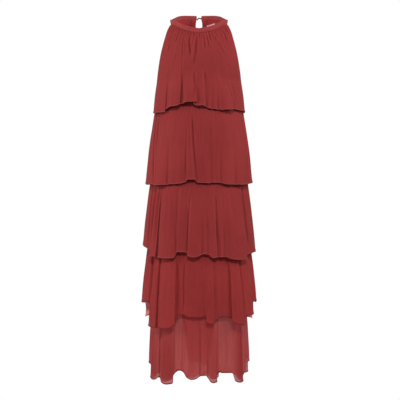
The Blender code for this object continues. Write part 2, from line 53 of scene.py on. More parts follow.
def smooth(x, xs, ys):
    # cubic curve through the rows of a table, straight beyond its ends
    xs = np.asarray(xs, float)
    ys = np.asarray(ys, float)
    slope = np.gradient(ys, xs)
    i = np.clip(np.searchsorted(xs, x) - 1, 0, len(xs) - 2)
    h = xs[i + 1] - xs[i]
    t = np.clip((x - xs[i]) / h, 0, 1)
    inside = ((1 + 2 * t) * (1 - t) ** 2 * ys[i] + t * (1 - t) ** 2 * h * slope[i]
              + t ** 2 * (3 - 2 * t) * ys[i + 1] + t ** 2 * (t - 1) * h * slope[i + 1])
    below = slope[0] * np.minimum(x - xs[0], 0)
    above = slope[-1] * np.maximum(x - xs[-1], 0)
    return inside + below + above


def ease(t):
    # from 0 to 1, level at both ends: 3 t squared less 2 t cubed
    t = np.clip(t, 0, 1)
    return t * t * (3 - 2 * t)


def unit(vectors):
    # each vector divided by its length
    return vectors / np.maximum(np.linalg.norm(vectors, axis=-1, keepdims=True), 1e-12)


body = {
    "underarm": -205 * mm,  # the armholes' lowest point
    "bandHalfWidth": 98.5 * mm, "bandFront": 75.5 * mm, "bandBack": 60 * mm,
    "bandHeight": 16 * mm, "bandThickness": 3.8 * mm,
    "bandEnd": 175.4,  # angle at which the band stops beside the keyhole
    "lean": 2.6 * mm, "seamGap": 0.4 * mm,
    "neckBlend": 34 * mm,  # below the band, from its outline to the body's
    "caught": 4 * mm,  # how far the cloth reaches up into the band
    # top edge of the neckband: angle, height
    "neckCourse": [
        (0, -31), (19, -25), (35, -16), (52, -3), (70, 6), (90, 10.5),
        (104, 14), (120, 22), (131, 29), (142, 33), (160, 35), (180, 35)],
}


def ringPoint(sections, angle, z, isFront):
    # point and outward direction on the body at an angle and a height: half an ellipse
    # for the front and half for the back, each set off from the middle at the armholes
    rows = sorted(sections, key=lambda row: row.z)
    heights = [row.z * mm for row in rows]
    half, frontEdge, front, backEdge, back = [
        smooth(z, heights, [getattr(row, name) * mm for row in rows])
        for name in ("halfWidth", "frontEdge", "front", "backEdge", "back")]
    turn = np.radians(angle)
    edge = np.maximum(np.where(isFront, frontEdge, backEdge), 0)
    edge = np.where(z <= body["underarm"], 0, edge)
    reach = np.where(isFront, front, back) - edge
    x = half * np.sin(turn)
    y = np.where(isFront, -1, 1) * edge - reach * np.cos(turn)
    normal = unit(np.stack([reach * np.sin(turn), -half * np.cos(turn), 0 * x], -1))
    return np.stack([x, y, z + 0 * x], -1), normal


def bandPoint(angle, inset):
    # the band's outline at height 0: half an ellipse in front, half behind, both set in
    turn = np.radians(angle)
    depth = np.where(np.cos(turn) >= 0, body["bandFront"], body["bandBack"]) - inset
    x = (body["bandHalfWidth"] - inset) * np.sin(turn)
    return np.stack([x, -depth * np.cos(turn), 0 * x], -1)


def courseHeight(angle):
    # height of the band's top edge, the same on both sides
    folded = np.abs((np.asarray(angle, float) + 180) % 360 - 180)
    angles, heights = zip(*body["neckCourse"])
    return smooth(folded, angles, np.array(heights) * mm)


def bandFoot(angle):
    # height just below the band
    return courseHeight(angle) - body["bandHeight"] - body["seamGap"]


def bandLean(angle):
    # at both sides the lower edge of the band lies further in than the upper edge
    return body["lean"] * np.abs(np.sin(np.radians(angle))) ** 5


def hungPoint(sections, angle, z, inset, isFront):
    # below the band: on the band's outline at its foot, on the body further down
    point, normal = ringPoint(sections, angle, z, isFront)
    foot = bandFoot(angle)
    start, _ = ringPoint(sections, angle, foot, isFront)
    share = 1 - ease((foot - z) / body["neckBlend"])
    point[..., :2] += (bandPoint(angle, inset) - start)[..., :2] * share[..., None]
    return point, normal


# half widths at the band and at its widest, the height there, and the depth below that
keyhole = {"topHalf": 8.5 * mm, "half": 11 * mm, "wideZ": 0.0, "drop": 70 * mm}


def keyholeEdge(z):
    # half width of the keyhole: nearly straight above, a half ellipse below
    wide, drop = keyhole["wideZ"], keyhole["drop"]
    rise = np.clip((z - wide) / (bandFoot(180.0) - wide), 0, 1)
    fall = np.clip((wide - z) / drop, 0, 1)
    upper = keyhole["half"] - (keyhole["half"] - keyhole["topHalf"]) * rise ** 2
    return np.where(z >= wide, upper, keyhole["half"] * np.sqrt(1 - fall ** 2))


def clearKeyhole(sections, angle, z, side):
    # moves the columns of a back panel aside so that its inner edge follows the keyhole
    half = ringPoint(sections, 90.0 + 0 * z, z, False)[0][..., 0]
    edge = np.degrees(np.arcsin(keyholeEdge(z) / half))
    fromCentre = np.abs(180 - angle)
    return 180 - side * (edge + fromCentre * (90 - edge) / 90)


foldShape = {
    "shoulder": 0.2,  # where the shoulders are, as a share of the width
    "blend": 0.3,  # how much of a shoulder's hem is that of its side
    "sharp": 0.9, "soft": 0.62,  # how far a shoulder stands out, with a lap and without
    "side": {1: 0.6, 0: 0.12, -1: 0.1},  # the same for a side: on top, without a lap, beneath
}


def foldCourse(folds, radius):
    # control points of a hem round the body, six for each fold: its left side, shoulder,
    # crest, shoulder, right side, and the valley behind it. Where lap isn't 0 the valley
    # lies back beneath the fold (lap above 0) or beneath the next one (below 0); where it
    # is 0 the two folds run into each other softly.
    rows = [Fold(*row) for row in folds]
    shoulder = foldShape["shoulder"]
    blend = foldShape["blend"]
    points = []
    for i, fold in enumerate(rows):
        before = rows[i - 1]
        after = rows[(i + 1) % len(rows)]
        nextLeft = after.left + (360 if i == len(rows) - 1 else 0)
        width = fold.right - fold.left
        hollow = fold.out < 0
        lap = int(np.sign(fold.lap))
        leftShare = 1.0 if hollow else foldShape["side"][-int(np.sign(before.lap))]
        rightShare = 1.0 if hollow else foldShape["side"][lap]
        leftShoulder = foldShape["sharp" if before.lap else "soft"]
        rightShoulder = foldShape["sharp" if fold.lap else "soft"]
        leftHem = fold.hemLeft * blend + fold.hem * (1 - blend)
        rightHem = fold.hemRight * blend + fold.hem * (1 - blend)
        middle = (fold.right + nextLeft) / 2
        lapAngle = np.degrees(fold.lap * mm / radius)
        valley = {1: fold.right - lapAngle, 0: middle, -1: nextLeft - lapAngle}[lap]
        valleyHem = (fold.hemRight + after.hemLeft) / 2
        points += [
            (fold.left, fold.left, fold.out * leftShare, fold.hemLeft, fold.reach),
            (fold.left + shoulder * width, 0, fold.out * leftShoulder, leftHem, fold.reach),
            (fold.left + 0.5 * width, 0, fold.out, fold.hem, fold.reach),
            (fold.right - shoulder * width, 0, fold.out * rightShoulder, rightHem, fold.reach),
            (fold.right, 0, fold.out * rightShare, fold.hemRight, fold.reach),
            (valley, middle, -fold.deep, valleyHem, (fold.reach + after.reach) / 2),
        ]
    return np.array(points)


def hemCurve(look):
    # the hem of a bodice or flounce as a smooth closed curve: angle at the hem, angle at the
    # seam, out, drop and reach at equal steps along the cloth, and a column for each valley
    sections, line, spacing = look["sections"], look["line"] * mm, look["spacing"] * mm
    points = foldCourse(look["folds"], sections[-1].halfWidth * mm)
    count = len(points)
    pad = 3  # points repeated at both ends
    fine = 40  # steps from one point to the next
    wrap = np.concatenate([points[-pad:], points, points[:pad + 1]])
    wrap[:pad, :2] -= 360
    wrap[pad + count:, :2] += 360
    index = np.arange(-pad, count + pad + 1)
    first = -1.0  # the valley before the first fold
    place = np.linspace(first, first + count, count * fine + 1)
    angle, out, drop = [smooth(place, index, wrap[:, k]) for k in (0, 2, 3)]
    at, normal = ringPoint(sections, angle, line - drop * mm, np.cos(np.radians(angle)) >= 0)
    at = at + normal * (out * mm)[:, None]
    steps = np.linalg.norm(np.diff(at, axis=0), axis=1)
    length = np.concatenate([[0], np.cumsum(steps)])
    valleys = np.concatenate([[-1], np.arange(5, count, 6)])
    valleyLength = np.interp(valleys, place, length)
    valleyAngle = np.concatenate([[points[-1, 1] - 360], points[5::6, 1]])
    columns = int(np.ceil(length[-1] / spacing))
    # a column stands on each valley exactly, so that panels can be split there
    nearest = np.round(valleyLength / length[-1] * columns).astype(int)
    along = np.interp(np.arange(columns + 1), nearest, valleyLength)
    where = np.interp(along, length, place)
    curve = {"along": along, "valleyColumn": nearest, "valleyAngle": valleyAngle,
             "topAngle": np.interp(along, valleyLength, valleyAngle)}
    for name, k in (("angle", 0), ("out", 2), ("drop", 3), ("reach", 4)):
        curve[name] = smooth(where, index, wrap[:, k])
    return curve


def cutBetween(curve, first, last):
    # the part of a hem curve between two valleys, by their angles
    start = curve["valleyColumn"][np.argmin(np.abs(curve["valleyAngle"] - first))]
    end = curve["valleyColumn"][np.argmin(np.abs(curve["valleyAngle"] - last))]
    names = ("along", "topAngle", "angle", "out", "drop", "reach")
    part = {name: curve[name][start:end + 1] for name in names}
    part["along"] = part["along"] - part["along"][0]
    return part


hemmed = {
    "width": 3.7 * mm, "gap": 0.5 * mm,  # of the part turned in, and between the layers
    "rows": (14, 11, 8.6, 6.8, 5.4, 4.4, 3.7, 3.1, 2.4, 1.5, 0.7, 0),  # heights above the edge
    "above": 4 * mm,  # from the even rows to these close ones
    # a bulge, the dent of its stitches and the flare of the edge: height, spread, size
    "puff": (1.8, 1.2, 0.3), "draw": (3.7, 0.7, -0.35), "flare": (9, 0.9),
}


def rowDistances(length, rows):
    # distances from the seam for every row and column: even rows, then close ones that
    # follow the hem
    close = np.array(hemmed["rows"])[:, None] * mm
    share = np.linspace(0, 1, rows)[:, None]
    return np.concatenate([share * (length - close[0] - hemmed["above"]), length - close])


def hemRelief(up):
    # a narrow hem bulges a little below its stitches, which draw the cloth in, and flares
    bell = [size * mm * np.exp(-((up - middle * mm) / (spread * mm)) ** 2)
            for middle, spread, size in (hemmed["puff"], hemmed["draw"])]
    height, size = hemmed["flare"]
    return bell[0] + bell[1] + size * mm * ease(1 - up / (height * mm))


def ripples(along, below, seed, size, wavelength, fade):
    # small uneven gathers that die out below a seam: three waves of different lengths
    rng = np.random.default_rng(seed)
    total = 0
    for share, stretch in ((1.0, 1.0), (0.62, 0.57), (0.38, 1.73)):
        wave = wavelength * stretch * mm
        phase = rng.uniform(0, 2 * np.pi)
        wobble = 1.4 * np.sin(along / (wave * 5.3) + rng.uniform(0, 6.28))
        total = total + share * np.sin(2 * np.pi * along / wave + phase + wobble)
    return size * mm * total * np.exp(-below / (fade * mm)) * ease(below / (6 * mm))


def drapeWaves(along, below, seed, size):
    # faint, long, wandering waves of the hanging cloth: four sines along the row, each
    # shifted by a slant and a slow sway on its way down, the longer ones deeper
    rng = np.random.default_rng(seed)
    total = 0
    for wave in (34, 53, 87, 21):
        slant = rng.uniform(-0.35, 0.35) * below
        sway = 9 * mm * np.sin(below / (rng.uniform(60, 110) * mm) + rng.uniform(0, 6))
        turns = (along + (slant + sway)) / (wave * mm)
        total = total + np.sin(2 * np.pi * turns + rng.uniform(0, 6.28)) * (0.35 + wave / 90)
    return size * mm * total * ease(below / (45 * mm))


# across a crease, in its widths: the size, place and width of the raised lips; along it, in
# shares of its length: where it fades in and out, and how far its line goes on
creaseShape = {"lip": 0.45, "lipPlace": 1.9, "lipWidth": 0.9, "fadeIn": 0.18, "fadeOut": 0.3, "beyond": 0.2}


def creaseRelief(creases, angle, z):
    # soft troughs with raised lips, each along a slanting line: a bell across the line less
    # a smaller bell at both sides, times its depth
    shape = creaseShape
    total = 0 * angle
    for row in creases:
        crease = Crease(*row)
        share = (crease.start * mm - z) / ((crease.start - crease.end) * mm)
        onLine = np.clip(share, -shape["beyond"], 1 + shape["beyond"])
        offset = (angle - crease.top - (crease.foot - crease.top) * onLine) / crease.width
        lips = np.exp(-((np.abs(offset) - shape["lipPlace"]) / shape["lipWidth"]) ** 2)
        strength = ease(share / shape["fadeIn"]) * ease((1 - share) / shape["fadeOut"])
        total = total - crease.depth * mm * strength * (np.exp(-offset ** 2) - shape["lip"] * lips)
    return total


def gridFaces(rows, columns, closed):
    # the corners of every face, as point numbers and as rows and columns; the last column
    # of a closed grid is joined to the first
    i, j = np.meshgrid(np.arange(rows - 1), np.arange(columns - (not closed)), indexing="ij")
    around = ((0, 0), (1, 0), (1, 1), (0, 1))
    place = np.stack([np.stack([i + down, j + right], -1) for down, right in around], 2)
    place = place.reshape(-1, 4, 2)
    return place[..., 0] * columns + place[..., 1] % columns, place


def addMesh(name, points, faces, material, uv=None):
    # a smooth mesh from points and lists of point numbers; uv has a row for every corner
    mesh = bpy.data.meshes.new(name)
    mesh.from_pydata(points.tolist(), [], faces)
    mesh.update()
    mesh.shade_smooth()
    mesh.materials.append(material)
    if uv is not None:
        layer = mesh.uv_layers.new(name="cloth")
        layer.data.foreach_set("uv", uv.astype(np.float32).ravel())
    item = bpy.data.objects.new(name, mesh)
    bpy.context.scene.collection.objects.link(item)
    return item


def addGrid(name, grid, across, up, material, closed=False, **marks):
    # grid [row, column]; across and up are the cloth's own measures for the UV map, and
    # marks are values for each point, such as how far it lies in a crease
    rows, columns = grid.shape[:2]
    faces, place = gridFaces(rows, columns, closed)
    row, column = place[..., 0], place[..., 1]
    uv = np.stack([across[row, column], up[row, np.minimum(column, columns - 1)]], -1)
    item = addMesh(name, grid.reshape(-1, 3), faces.tolist(), material, uv)
    for mark, values in marks.items():
        layer = item.data.attributes.new(mark, "FLOAT", "POINT")
        layer.data.foreach_set("value", values.astype(np.float32).ravel())
    return item


# how far the surroundings of a point reach along the row, and how deep a full crease is
shading = {"stretch": 8.0, "depth": 2.2}


def rowMean(values, stretch, spacing, closed):
    # the mean along the row over a stretch on both sides of each point
    reach = int(round(stretch * mm / spacing))
    padded = np.pad(values, ((0, 0), (reach + 1, reach)), mode="wrap" if closed else "edge")
    total = np.cumsum(padded, axis=1)
    return (total[:, 2 * reach + 1:] - total[:, :-2 * reach - 1]) / (2 * reach + 1)


def hollowness(relief, spacing, closed):
    # how far each point lies behind its surroundings along the row, from -1 on a ridge to
    # 1 in a crease
    mean = rowMean(relief, shading["stretch"], spacing, closed)
    return np.clip((mean - relief) / (shading["depth"] * mm), -1, 1)


def gridNormals(grid, closed):
    # outward directions: the way down crossed with the way along the row
    if closed:
        along = np.roll(grid, -1, axis=1) - np.roll(grid, 1, axis=1)
    else:
        along = np.gradient(grid, axis=1)
    return unit(np.cross(np.gradient(grid, axis=0), along))


def hemBack(grid, up, marks, closed):
    # the part of a narrow hem that lies inside: the last rows again, in reverse order
    # and set in a little, with a rounded edge between the two layers
    width, gap = hemmed["width"], hemmed["gap"]
    normal = gridNormals(grid, closed)
    kept = np.where(up[:, 0] <= width * 1.001)[0][::-1]
    inside = grid[kept] - normal[kept] * gap
    outward = unit(grid[-1] - grid[-3])
    edge = (grid[-1] + inside[0]) / 2 + outward * gap * 0.45
    inside[0] = inside[0] + outward * gap * 0.1
    return (np.concatenate([grid, edge[None], inside]),
            np.concatenate([up, up[-1:] - 0.5 * gap, -up[kept] - gap]),
            np.concatenate([marks, marks[-1:], marks[kept]]))


def measures(grid):
    # the cloth's own measures over a grid: across from its middle row, up from its foot
    steps = np.linalg.norm(np.diff(grid, axis=1), axis=-1)
    rowLengths = np.concatenate([np.zeros((len(grid), 1)), np.cumsum(steps, axis=1)], axis=1)
    across = rowLengths[-1:] + 0 * rowLengths
    falls = np.linalg.norm(np.diff(grid, axis=0), axis=-1)
    down = np.concatenate([np.zeros((1, grid.shape[1])), np.cumsum(falls, axis=0)])
    return across, down[-1:] - down


def thicken(piece, thickness):
    # gives a sheet its thickness, all of it behind the face
    wall = piece.modifiers.new("thickness", "SOLIDIFY")
    wall.thickness = thickness
    wall.offset = -1


class Wire:
    # a socket that can be added, multiplied and so on; each step is a Math node
    def __init__(self, nodes, socket):
        self.nodes = nodes
        self.socket = socket

    def math(self, operation, other=None, swap=False):
        pair = [other, self] if swap else [self, other]
        sockets = {k: value for k, value in enumerate(pair) if value is not None}
        return self.nodes.add("Math", {"operation": operation}, sockets, 0)

    def __add__(self, other):
        return self.math("ADD", other)

    def __sub__(self, other):
        return self.math("SUBTRACT", other)

    def __rsub__(self, other):
        return self.math("SUBTRACT", other, swap=True)

    def __mul__(self, other):
        return self.math("MULTIPLY", other)

    def __abs__(self):
        return self.math("ABSOLUTE")

    def sine(self):
        return self.math("SINE")

    __radd__ = __add__
    __rmul__ = __mul__


class Nodes:
    # a node tree; add makes any node in it
    def __init__(self, tree):
        self.tree = tree

    def plug(self, socket, value):
        # joins a wire to a socket, or sets its fixed value
        if isinstance(value, Wire):
            self.tree.links.new(value.socket, socket)
        elif hasattr(value, "__len__") and len(value) == 3 and socket.type == "RGBA":
            socket.default_value = (*value, 1)
        else:
            socket.default_value = value

    def add(self, kind, settings, sockets, output):
        # the settings come first, because they decide which sockets the node has
        node = self.tree.nodes.new("ShaderNode" + kind)
        for name, value in settings.items():
            setattr(node, name, value)
        for name, value in sockets.items():
            self.plug(node.inputs[name], value)
        return Wire(self, node.outputs[output])


class Paint(Nodes):
    # one material and its nodes
    def __init__(self, name, **constants):
        self.material = bpy.data.materials.new(name)
        self.material.use_nodes = True
        super().__init__(self.material.node_tree)
        self.shader = self.tree.nodes["Principled BSDF"]
        for socket, value in constants.items():
            self.plug(self.shader.inputs[socket.replace("_", " ")], value)

    def place(self):
        # the point on the piece, in metres
        return self.add("TexCoord", {}, {}, "Object")

    def cloth(self):
        # the piece's own UV map: along the cloth and up from its hem, in metres
        uv = self.add("UVMap", {"uv_map": "cloth"}, {}, "UV")
        return self.along(uv, "X"), self.along(uv, "Y")

    def along(self, vector, axis):
        # one coordinate of a vector
        return self.add("SeparateXYZ", {}, {0: vector}, axis)

    def noise(self, vector, scale, detail=2.0, roughness=0.5):
        return self.add("TexNoise", {}, {"Vector": vector, "Scale": scale, "Detail": detail,
                                         "Roughness": roughness}, "Fac")

    def mix(self, share, a, b):
        return self.add("Mix", {"data_type": "RGBA"}, {0: share, 6: a, 7: b}, 2)

    def ramp(self, value, low, high):
        # from 0 at low to 1 at high, level at both ends
        return self.add("MapRange", {"interpolation_type": "SMOOTHSTEP"},
                        {"Value": value, "From Min": low, "From Max": high}, "Result")

    def bump(self, height, distance):
        return self.add("Bump", {}, {"Height": height, "Distance": distance, "Strength": 1.0}, "Normal")

    def cover(self, share, other):
        # mixes another shader over the material's own
        own = Wire(self, self.shader.outputs[0])
        both = self.add("MixShader", {}, {0: share, 1: own, 2: other}, 0)
        self.plug(self.tree.nodes["Material Output"].inputs[0], both)

    def finish(self, **wires):
        for socket, wire in wires.items():
            self.plug(self.shader.inputs[socket.replace("_", " ")], wire)
        return self.material


# spans over which a feature fades in, from where it is 0 to where it is full
spans = {
    "turned": (3.2 * mm, 1.4 * mm),  # height of the hem's turned-in part
    "free": (24 * mm, 8 * mm),  # height of the part that hangs free of the layers behind
    "freeDepth": (-0.03, 0.02), "freeSide": (0.14, 0.16),  # y and x of the free part, if it is at the sides
    "lobe": (0.1, 0.85), "lobeHeight": (6 * mm, 20 * mm),  # where the cloth lies double
    "crease": (0.0, 1.0), "ridgeHighlight": (0.0, -0.8), "shut": (0.0, 0.4),  # in hollowness: the painted crease shade, the painted ridge highlight, and the fuller cover in creases
    "patches": (0.3, 0.7), "specks": (0.35, 0.75), "stitch": (-0.75, -0.35),  # in noise, and in a sine
}

stitching = {
    "pitch": 2.6 * mm, "width": 0.55 * mm,
    "tone": 0.45, "dent": 1.2, "lineDent": 1.6,  # how dark and how deep the stitches and their line are
}


def stitchMask(paint, along, up, height):
    # a row of short stitches at one height: 1 on a stitch, and 1 on the line they lie in
    width = stitching["width"]
    line = paint.ramp(abs(up - height), width, width * 0.4)
    dash = paint.ramp((along * (2 * np.pi / stitching["pitch"])).sine(), *spans["stitch"])
    return line * dash, line


def clothBase(name, look):
    # what every matt cloth begins with: its sheen, and a tone of slow patches and fine specks
    paint = Paint(name, Sheen_Weight=look["sheen"], Sheen_Roughness=look["sheenRoughness"],
                  Sheen_Tint=(*look["sheenTint"], 1), Specular_IOR_Level=0.25)
    spot = paint.place()
    patches = paint.noise(spot, look["patches"], 3.0)
    crepe = paint.noise(spot, look["crepe"], 2.0, 0.65)
    tone = paint.mix(paint.ramp(patches, *spans["patches"]), look["dark"], look["light"])
    tone = paint.mix(paint.ramp(crepe, *spans["specks"]) * look["speckle"], tone, look["bright"])
    return paint, spot, patches, crepe, tone


def clothPaint(name, look):
    # crepe chiffon: fine uneven threads, painted shade in the creases and painted highlights on the ridges, a
    # stitched hem
    paint, spot, _, crepe, tone = clothBase(name, look)
    along, up = paint.cloth()
    warp = (along * (2 * np.pi / look["thread"])).sine()
    weft = (up * (2 * np.pi / look["thread"])).sine()
    if look.get("crease"):
        # painted shade and highlight: creases are darkened towards the deep tone and ridges lightened towards
        # the bright tone, by how far the cloth lies behind or before its surroundings
        hollow = paint.add("Attribute", {"attribute_name": "hollow"}, {}, "Fac")
        tone = paint.mix(paint.ramp(hollow, *spans["crease"]) * look["crease"], tone, look["deep"])
        tone = paint.mix(paint.ramp(hollow, *spans["ridgeHighlight"]) * look["ridgeHighlight"], tone, look["bright"])
    height = crepe * 0.8 + (warp * weft) * 0.25
    if look.get("hem"):
        stitches, line = stitchMask(paint, along, up, look["hem"] * mm)
        turned = paint.ramp(up, *spans["turned"])
        # painted tone at the hem's turned edge: a painted highlight on the opaque flounces, where the rolled
        # edge would catch the light, and a painted darker outline on the sheer ones, where the doubled edge
        # would hold back the light from behind
        tone = paint.mix(turned * look["edge"], tone, look["pale"])
        tone = paint.mix(stitches * stitching["tone"], tone, look["dark"])
        height = height - line * stitching["lineDent"] - stitches * stitching["dent"]
    # a hem that hangs free of the layers behind it: all of it, or only at both sides
    free = paint.ramp(up, *spans["free"])
    if look.get("thin"):
        free = free * (1 - turned)
    if look.get("freeSides"):
        beside = paint.ramp(abs(paint.along(spot, "X")), *spans["freeSide"])
        free = free * paint.ramp(paint.along(spot, "Y"), *spans["freeDepth"]) * beside
    alpha = look["alpha"]
    if look.get("lobeShade"):
        # the lobes of the hem get a painted shade, for the light that the cloth lying double there would hold
        # back, and are less sheer
        lobe = paint.add("Attribute", {"attribute_name": "lobe"}, {}, "Fac")
        fullness = paint.ramp(lobe, *spans["lobe"]) * paint.ramp(up, *spans["lobeHeight"])
        tone = paint.mix(fullness, tone, look["lobeShade"])
        shut = fullness.math("MAXIMUM", paint.ramp(hollow, *spans["shut"]))
        alpha = look["thin"] + shut.math("MAXIMUM", turned) * (look["alpha"] - look["thin"])
    elif look.get("thin"):
        alpha = look["alpha"] - free * (look["alpha"] - look["thin"])
    if look.get("through"):
        # sheer cloth scatters the light from behind it towards the front
        through = paint.add("BsdfTranslucent", {}, {"Color": look["glow"]}, 0)
        paint.cover(look["through"] + free * look["hemThrough"], through)
    return paint.finish(Base_Color=tone, Roughness=0.68 + crepe * 0.2, Alpha=alpha,
                        Normal=paint.bump(height, look["relief"] * mm))


chiffon = {
    "dark": (0.238, 0.0152, 0.0162), "light": (0.275, 0.0202, 0.0206),
    "bright": (0.345, 0.036, 0.0345), "ridgeHighlight": 0.35,  # specks and painted ridge highlights, and how strong the ridge highlights are
    "deep": (0.11, 0.006, 0.007), "crease": 0.75,  # painted shade in the creases, and how strong it is
    "patches": 7.0, "speckle": 0.35, "crepe": 900.0, "thread": 1.1 * mm, "relief": 0.16,
    "sheen": 0.12, "sheenRoughness": 0.4, "sheenTint": (1.0, 0.5, 0.48), "alpha": 1.0,
    "hem": 3.5, "edge": 0.7, "pale": (0.31, 0.062, 0.058),  # height of the stitches, and how strong and what tone the painted highlight on the hem's edge is
}


bodice = {
    "line": -300, "inset": 0.6, "rows": 76, "spacing": 1.7, "growth": 0.9,
    "gathers": {"size": 1.0, "wavelength": 12, "fade": 36}, "waves": 0.22,
    "seamFade": 14 * mm,  # the relief dies out towards a panel's seams
    "follows": 60 * mm,  # down to here the rows follow the band where the keyhole moves them aside
    "tucked": 1.4 * mm, "tuckHeight": 8 * mm,  # how far the top edge lies in, under the band
    "panels": [
        {"name": "bodice_front", "node": "tier1_front", "first": -90, "last": 90, "seed": 11},
        {"name": "bodice_back_left", "node": "tier1_back_left", "first": 90, "last": 180, "seed": 23},
        {"name": "bodice_back_right", "node": "tier1_back_right", "first": 180, "last": 270, "seed": 31}],
    "sections": [
        Section(30, 93, 0, 68, 0, 59), Section(0, 96, 6, 71, 9, 68),
        Section(-30, 106.4, 30, 76, 32, 80), Section(-60, 115, 42, 87, 44, 89),
        Section(-100, 125, 48, 103, 50, 97), Section(-140, 133.2, 41, 115, 43, 101),
        Section(-180, 139.6, 19, 121, 20, 103), Section(-205, 143, 0, 124, 0, 104),
        Section(-250, 149.2, 0, 127, 0, 107), Section(-300, 153.5, 0, 129, 0, 112)],
    # left, right, out, lap, deep, hem at left, middle and right, reach
    "folds": [
        (-88, -46, 4, 4, 1.5, 4, 11, 11, 0.55), (-41, -23.5, 7, 2, 1, -2, -6, -12, 0.5),
        (-20, -2.5, 6, 12, 1.5, -14, -19, -19, 0.35), (-1, 6.5, 2, 0, 2, -6, -7, -6, 0.5),
        (9.5, 24, -5, 0, 2, -2, 3, 5, 0.4), (30, 49, 9, 0, 1, 6, 4, 0, 0.3),
        (52, 88, 4.5, 0, 1, 1, 4, 5, 0.6),
        (92, 107, 3, 0, 1, 4, 5, 2, 0.7), (110, 131, 5, 3, 2, 2, -2, -6, 0.7),
        (135, 152, 5, -3, 3, -8, -11, -8, 0.6), (155, 178, 3, 0, 1, -4, 3, 2, 0.6),
        (182, 199, 4, 3, 2, 2, -3, -7, 0.6), (203, 218, 5, 0, 3, -8, -6, -2, 0.7),
        (221, 243, 4, -3, 2, 1, 7, 8, 0.7), (246, 268, 4, 0, 1, 7, 5, 3, 0.7)],
    # angle at the start, angle at the end, heights of start and end, depth, width
    "creases": [
        (-62, -66, -16, -86, 1.0, 2.4), (-53, -56, -26, -70, 1.0, 1.8), (-46, -62, -36, -122, -1.6, 2.6),
        (-38.5, -39, -38, -84, 1.8, 1.7), (-37.2, -39.6, -80, -155, -1.1, 1.8),
        (-33, -34, -40, -66, 0.8, 1.5),
        (-27.5, -20.8, -40, -275, 1.2, 1.1), (-22.5, -20, -46, -76, 1.1, 1.4),
        (-17.8, -11.6, -50, -134, 3.1, 1.9), (-9.5, -9, -48, -74, 1.0, 1.4),
        (-3.2, -7.5, -52, -172, 2.6, 2.1),
        (0.5, 0.5, -46, -76, 1.2, 1.4), (8.2, 8.6, -48, -112, 2.1, 1.7), (13.8, 14, -50, -100, 1.2, 1.6),
        (18.5, 19.5, -46, -78, 1.0, 1.5), (23.5, 25, -44, -70, 0.8, 1.4), (28, 47, -48, -130, -1.4, 2.6),
        (31, 34, -40, -76, 0.9, 1.6), (38, 43, -36, -72, 0.8, 1.6), (46, 52, -28, -84, 1.8, 2.2),
        (58, 63, -16, -70, 1.2, 2.0), (-5.8, -6, -174, -276, 1.5, 1.3), (7.9, 7.4, -176, -292, 1.2, 1.3),
        (43, 53.5, -208, -294, -1.5, 2.0), (-36, -33, -190, -290, 0.8, 2.4), (32, 30, -150, -280, 0.6, 4.0)],
    "backCreases": [
        (112, 108, 0, -80, 1.6, 2.4), (126, 120, 6, -120, 2.2, 2.0), (139, 134, 14, -90, 2.6, 1.8),
        (150, 149, 18, -170, 1.8, 1.8), (161, 158, 20, -105, 2.4, 1.7), (168, 166, 20, -70, 1.6, 1.6),
        (193, 196, 20, -95, 2.0, 1.8), (202, 206, 20, -150, 2.5, 1.8), (214, 219, 16, -90, 2.0, 2.0),
        (228, 236, 10, -130, 2.2, 2.2), (242, 248, 0, -75, 1.6, 2.4), (253, 255, -10, -90, 1.2, 2.8),
        (176, 174, -90, -270, 1.0, 2.2), (188, 187, -120, -290, 1.2, 1.8)],
}


def bodicePanel(curve, panel):
    # a panel that hangs from the neckband: its columns are gathered evenly at the band and
    # spread to the folds of the hem. Gives its points, its measures along and up, and how
    # deep each point lies in a crease
    isFront = panel["last"] <= 90
    part = cutBetween(curve, panel["first"], panel["last"])
    top, along = part["topAngle"], part["along"]
    start = bandFoot(top) + body["caught"]
    hem = bodice["line"] * mm - part["drop"] * mm
    length = start - hem
    below = rowDistances(length, bodice["rows"])
    grown = np.clip((below / length - (1 - part["reach"])) / part["reach"], 0, 1)
    angle = top + (part["angle"] - top) * ease(grown) ** bodice["growth"]
    z = start - below
    if not isFront:
        angle = clearKeyhole(bodice["sections"], angle, z, 1 if panel["last"] <= 180 else -1)
        shift = bandFoot(angle) - bandFoot(top)
        z = z + shift * np.clip(1 - below / bodice["follows"], 0, 1)
    point, normal = hungPoint(bodice["sections"], angle, z, bodice["inset"] * mm, isFront)
    relief = ripples(along, below, panel["seed"], **bodice["gathers"])
    relief = relief + drapeWaves(along, below, panel["seed"] + 1, bodice["waves"])
    relief = relief + creaseRelief(bodice["creases" if isFront else "backCreases"], angle, z)
    seam = ease(np.minimum(along, along[-1] - along) / bodice["seamFade"])
    relief = part["out"] * mm * grown ** bodice["growth"] + relief * seam
    hollow = hollowness(relief, bodice["spacing"] * mm, False)
    up = length - below
    tuck = (bodice["tucked"] + bandLean(angle)) * ease(1 - below / bodice["tuckHeight"])
    return point + normal * (relief + hemRelief(up) - tuck)[..., None], along, up, hollow


def addBodice():
    # front and two back panels, each cut from the same hem curve at its valleys
    paint = clothPaint("bodiceChiffon", chiffon)
    curve = hemCurve(bodice)
    for panel in bodice["panels"]:
        grid, along, up, hollow = bodicePanel(curve, panel)
        grid, up, hollow = hemBack(grid, up, hollow, False)
        across = along + 0 * up
        piece = addGrid(panel["name"], grid, across, up, paint, hollow=hollow)
        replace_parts(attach(piece, "root"), panel["node"])


# what all flounces share
flounced = {
    "rests": "lining_skirt", "rows": 54, "spacing": 1.9, "waves": 0.25, "leastReach": 0.3,
    "gathers": {"size": 1.0, "wavelength": 15, "fade": 34},
    "join": 20 * mm,  # gathers and waves die out towards the side seam
    "fullLobe": 8 * mm, "lobeReach": 10,  # how far out a full lobe stands, meaned over this stretch
}


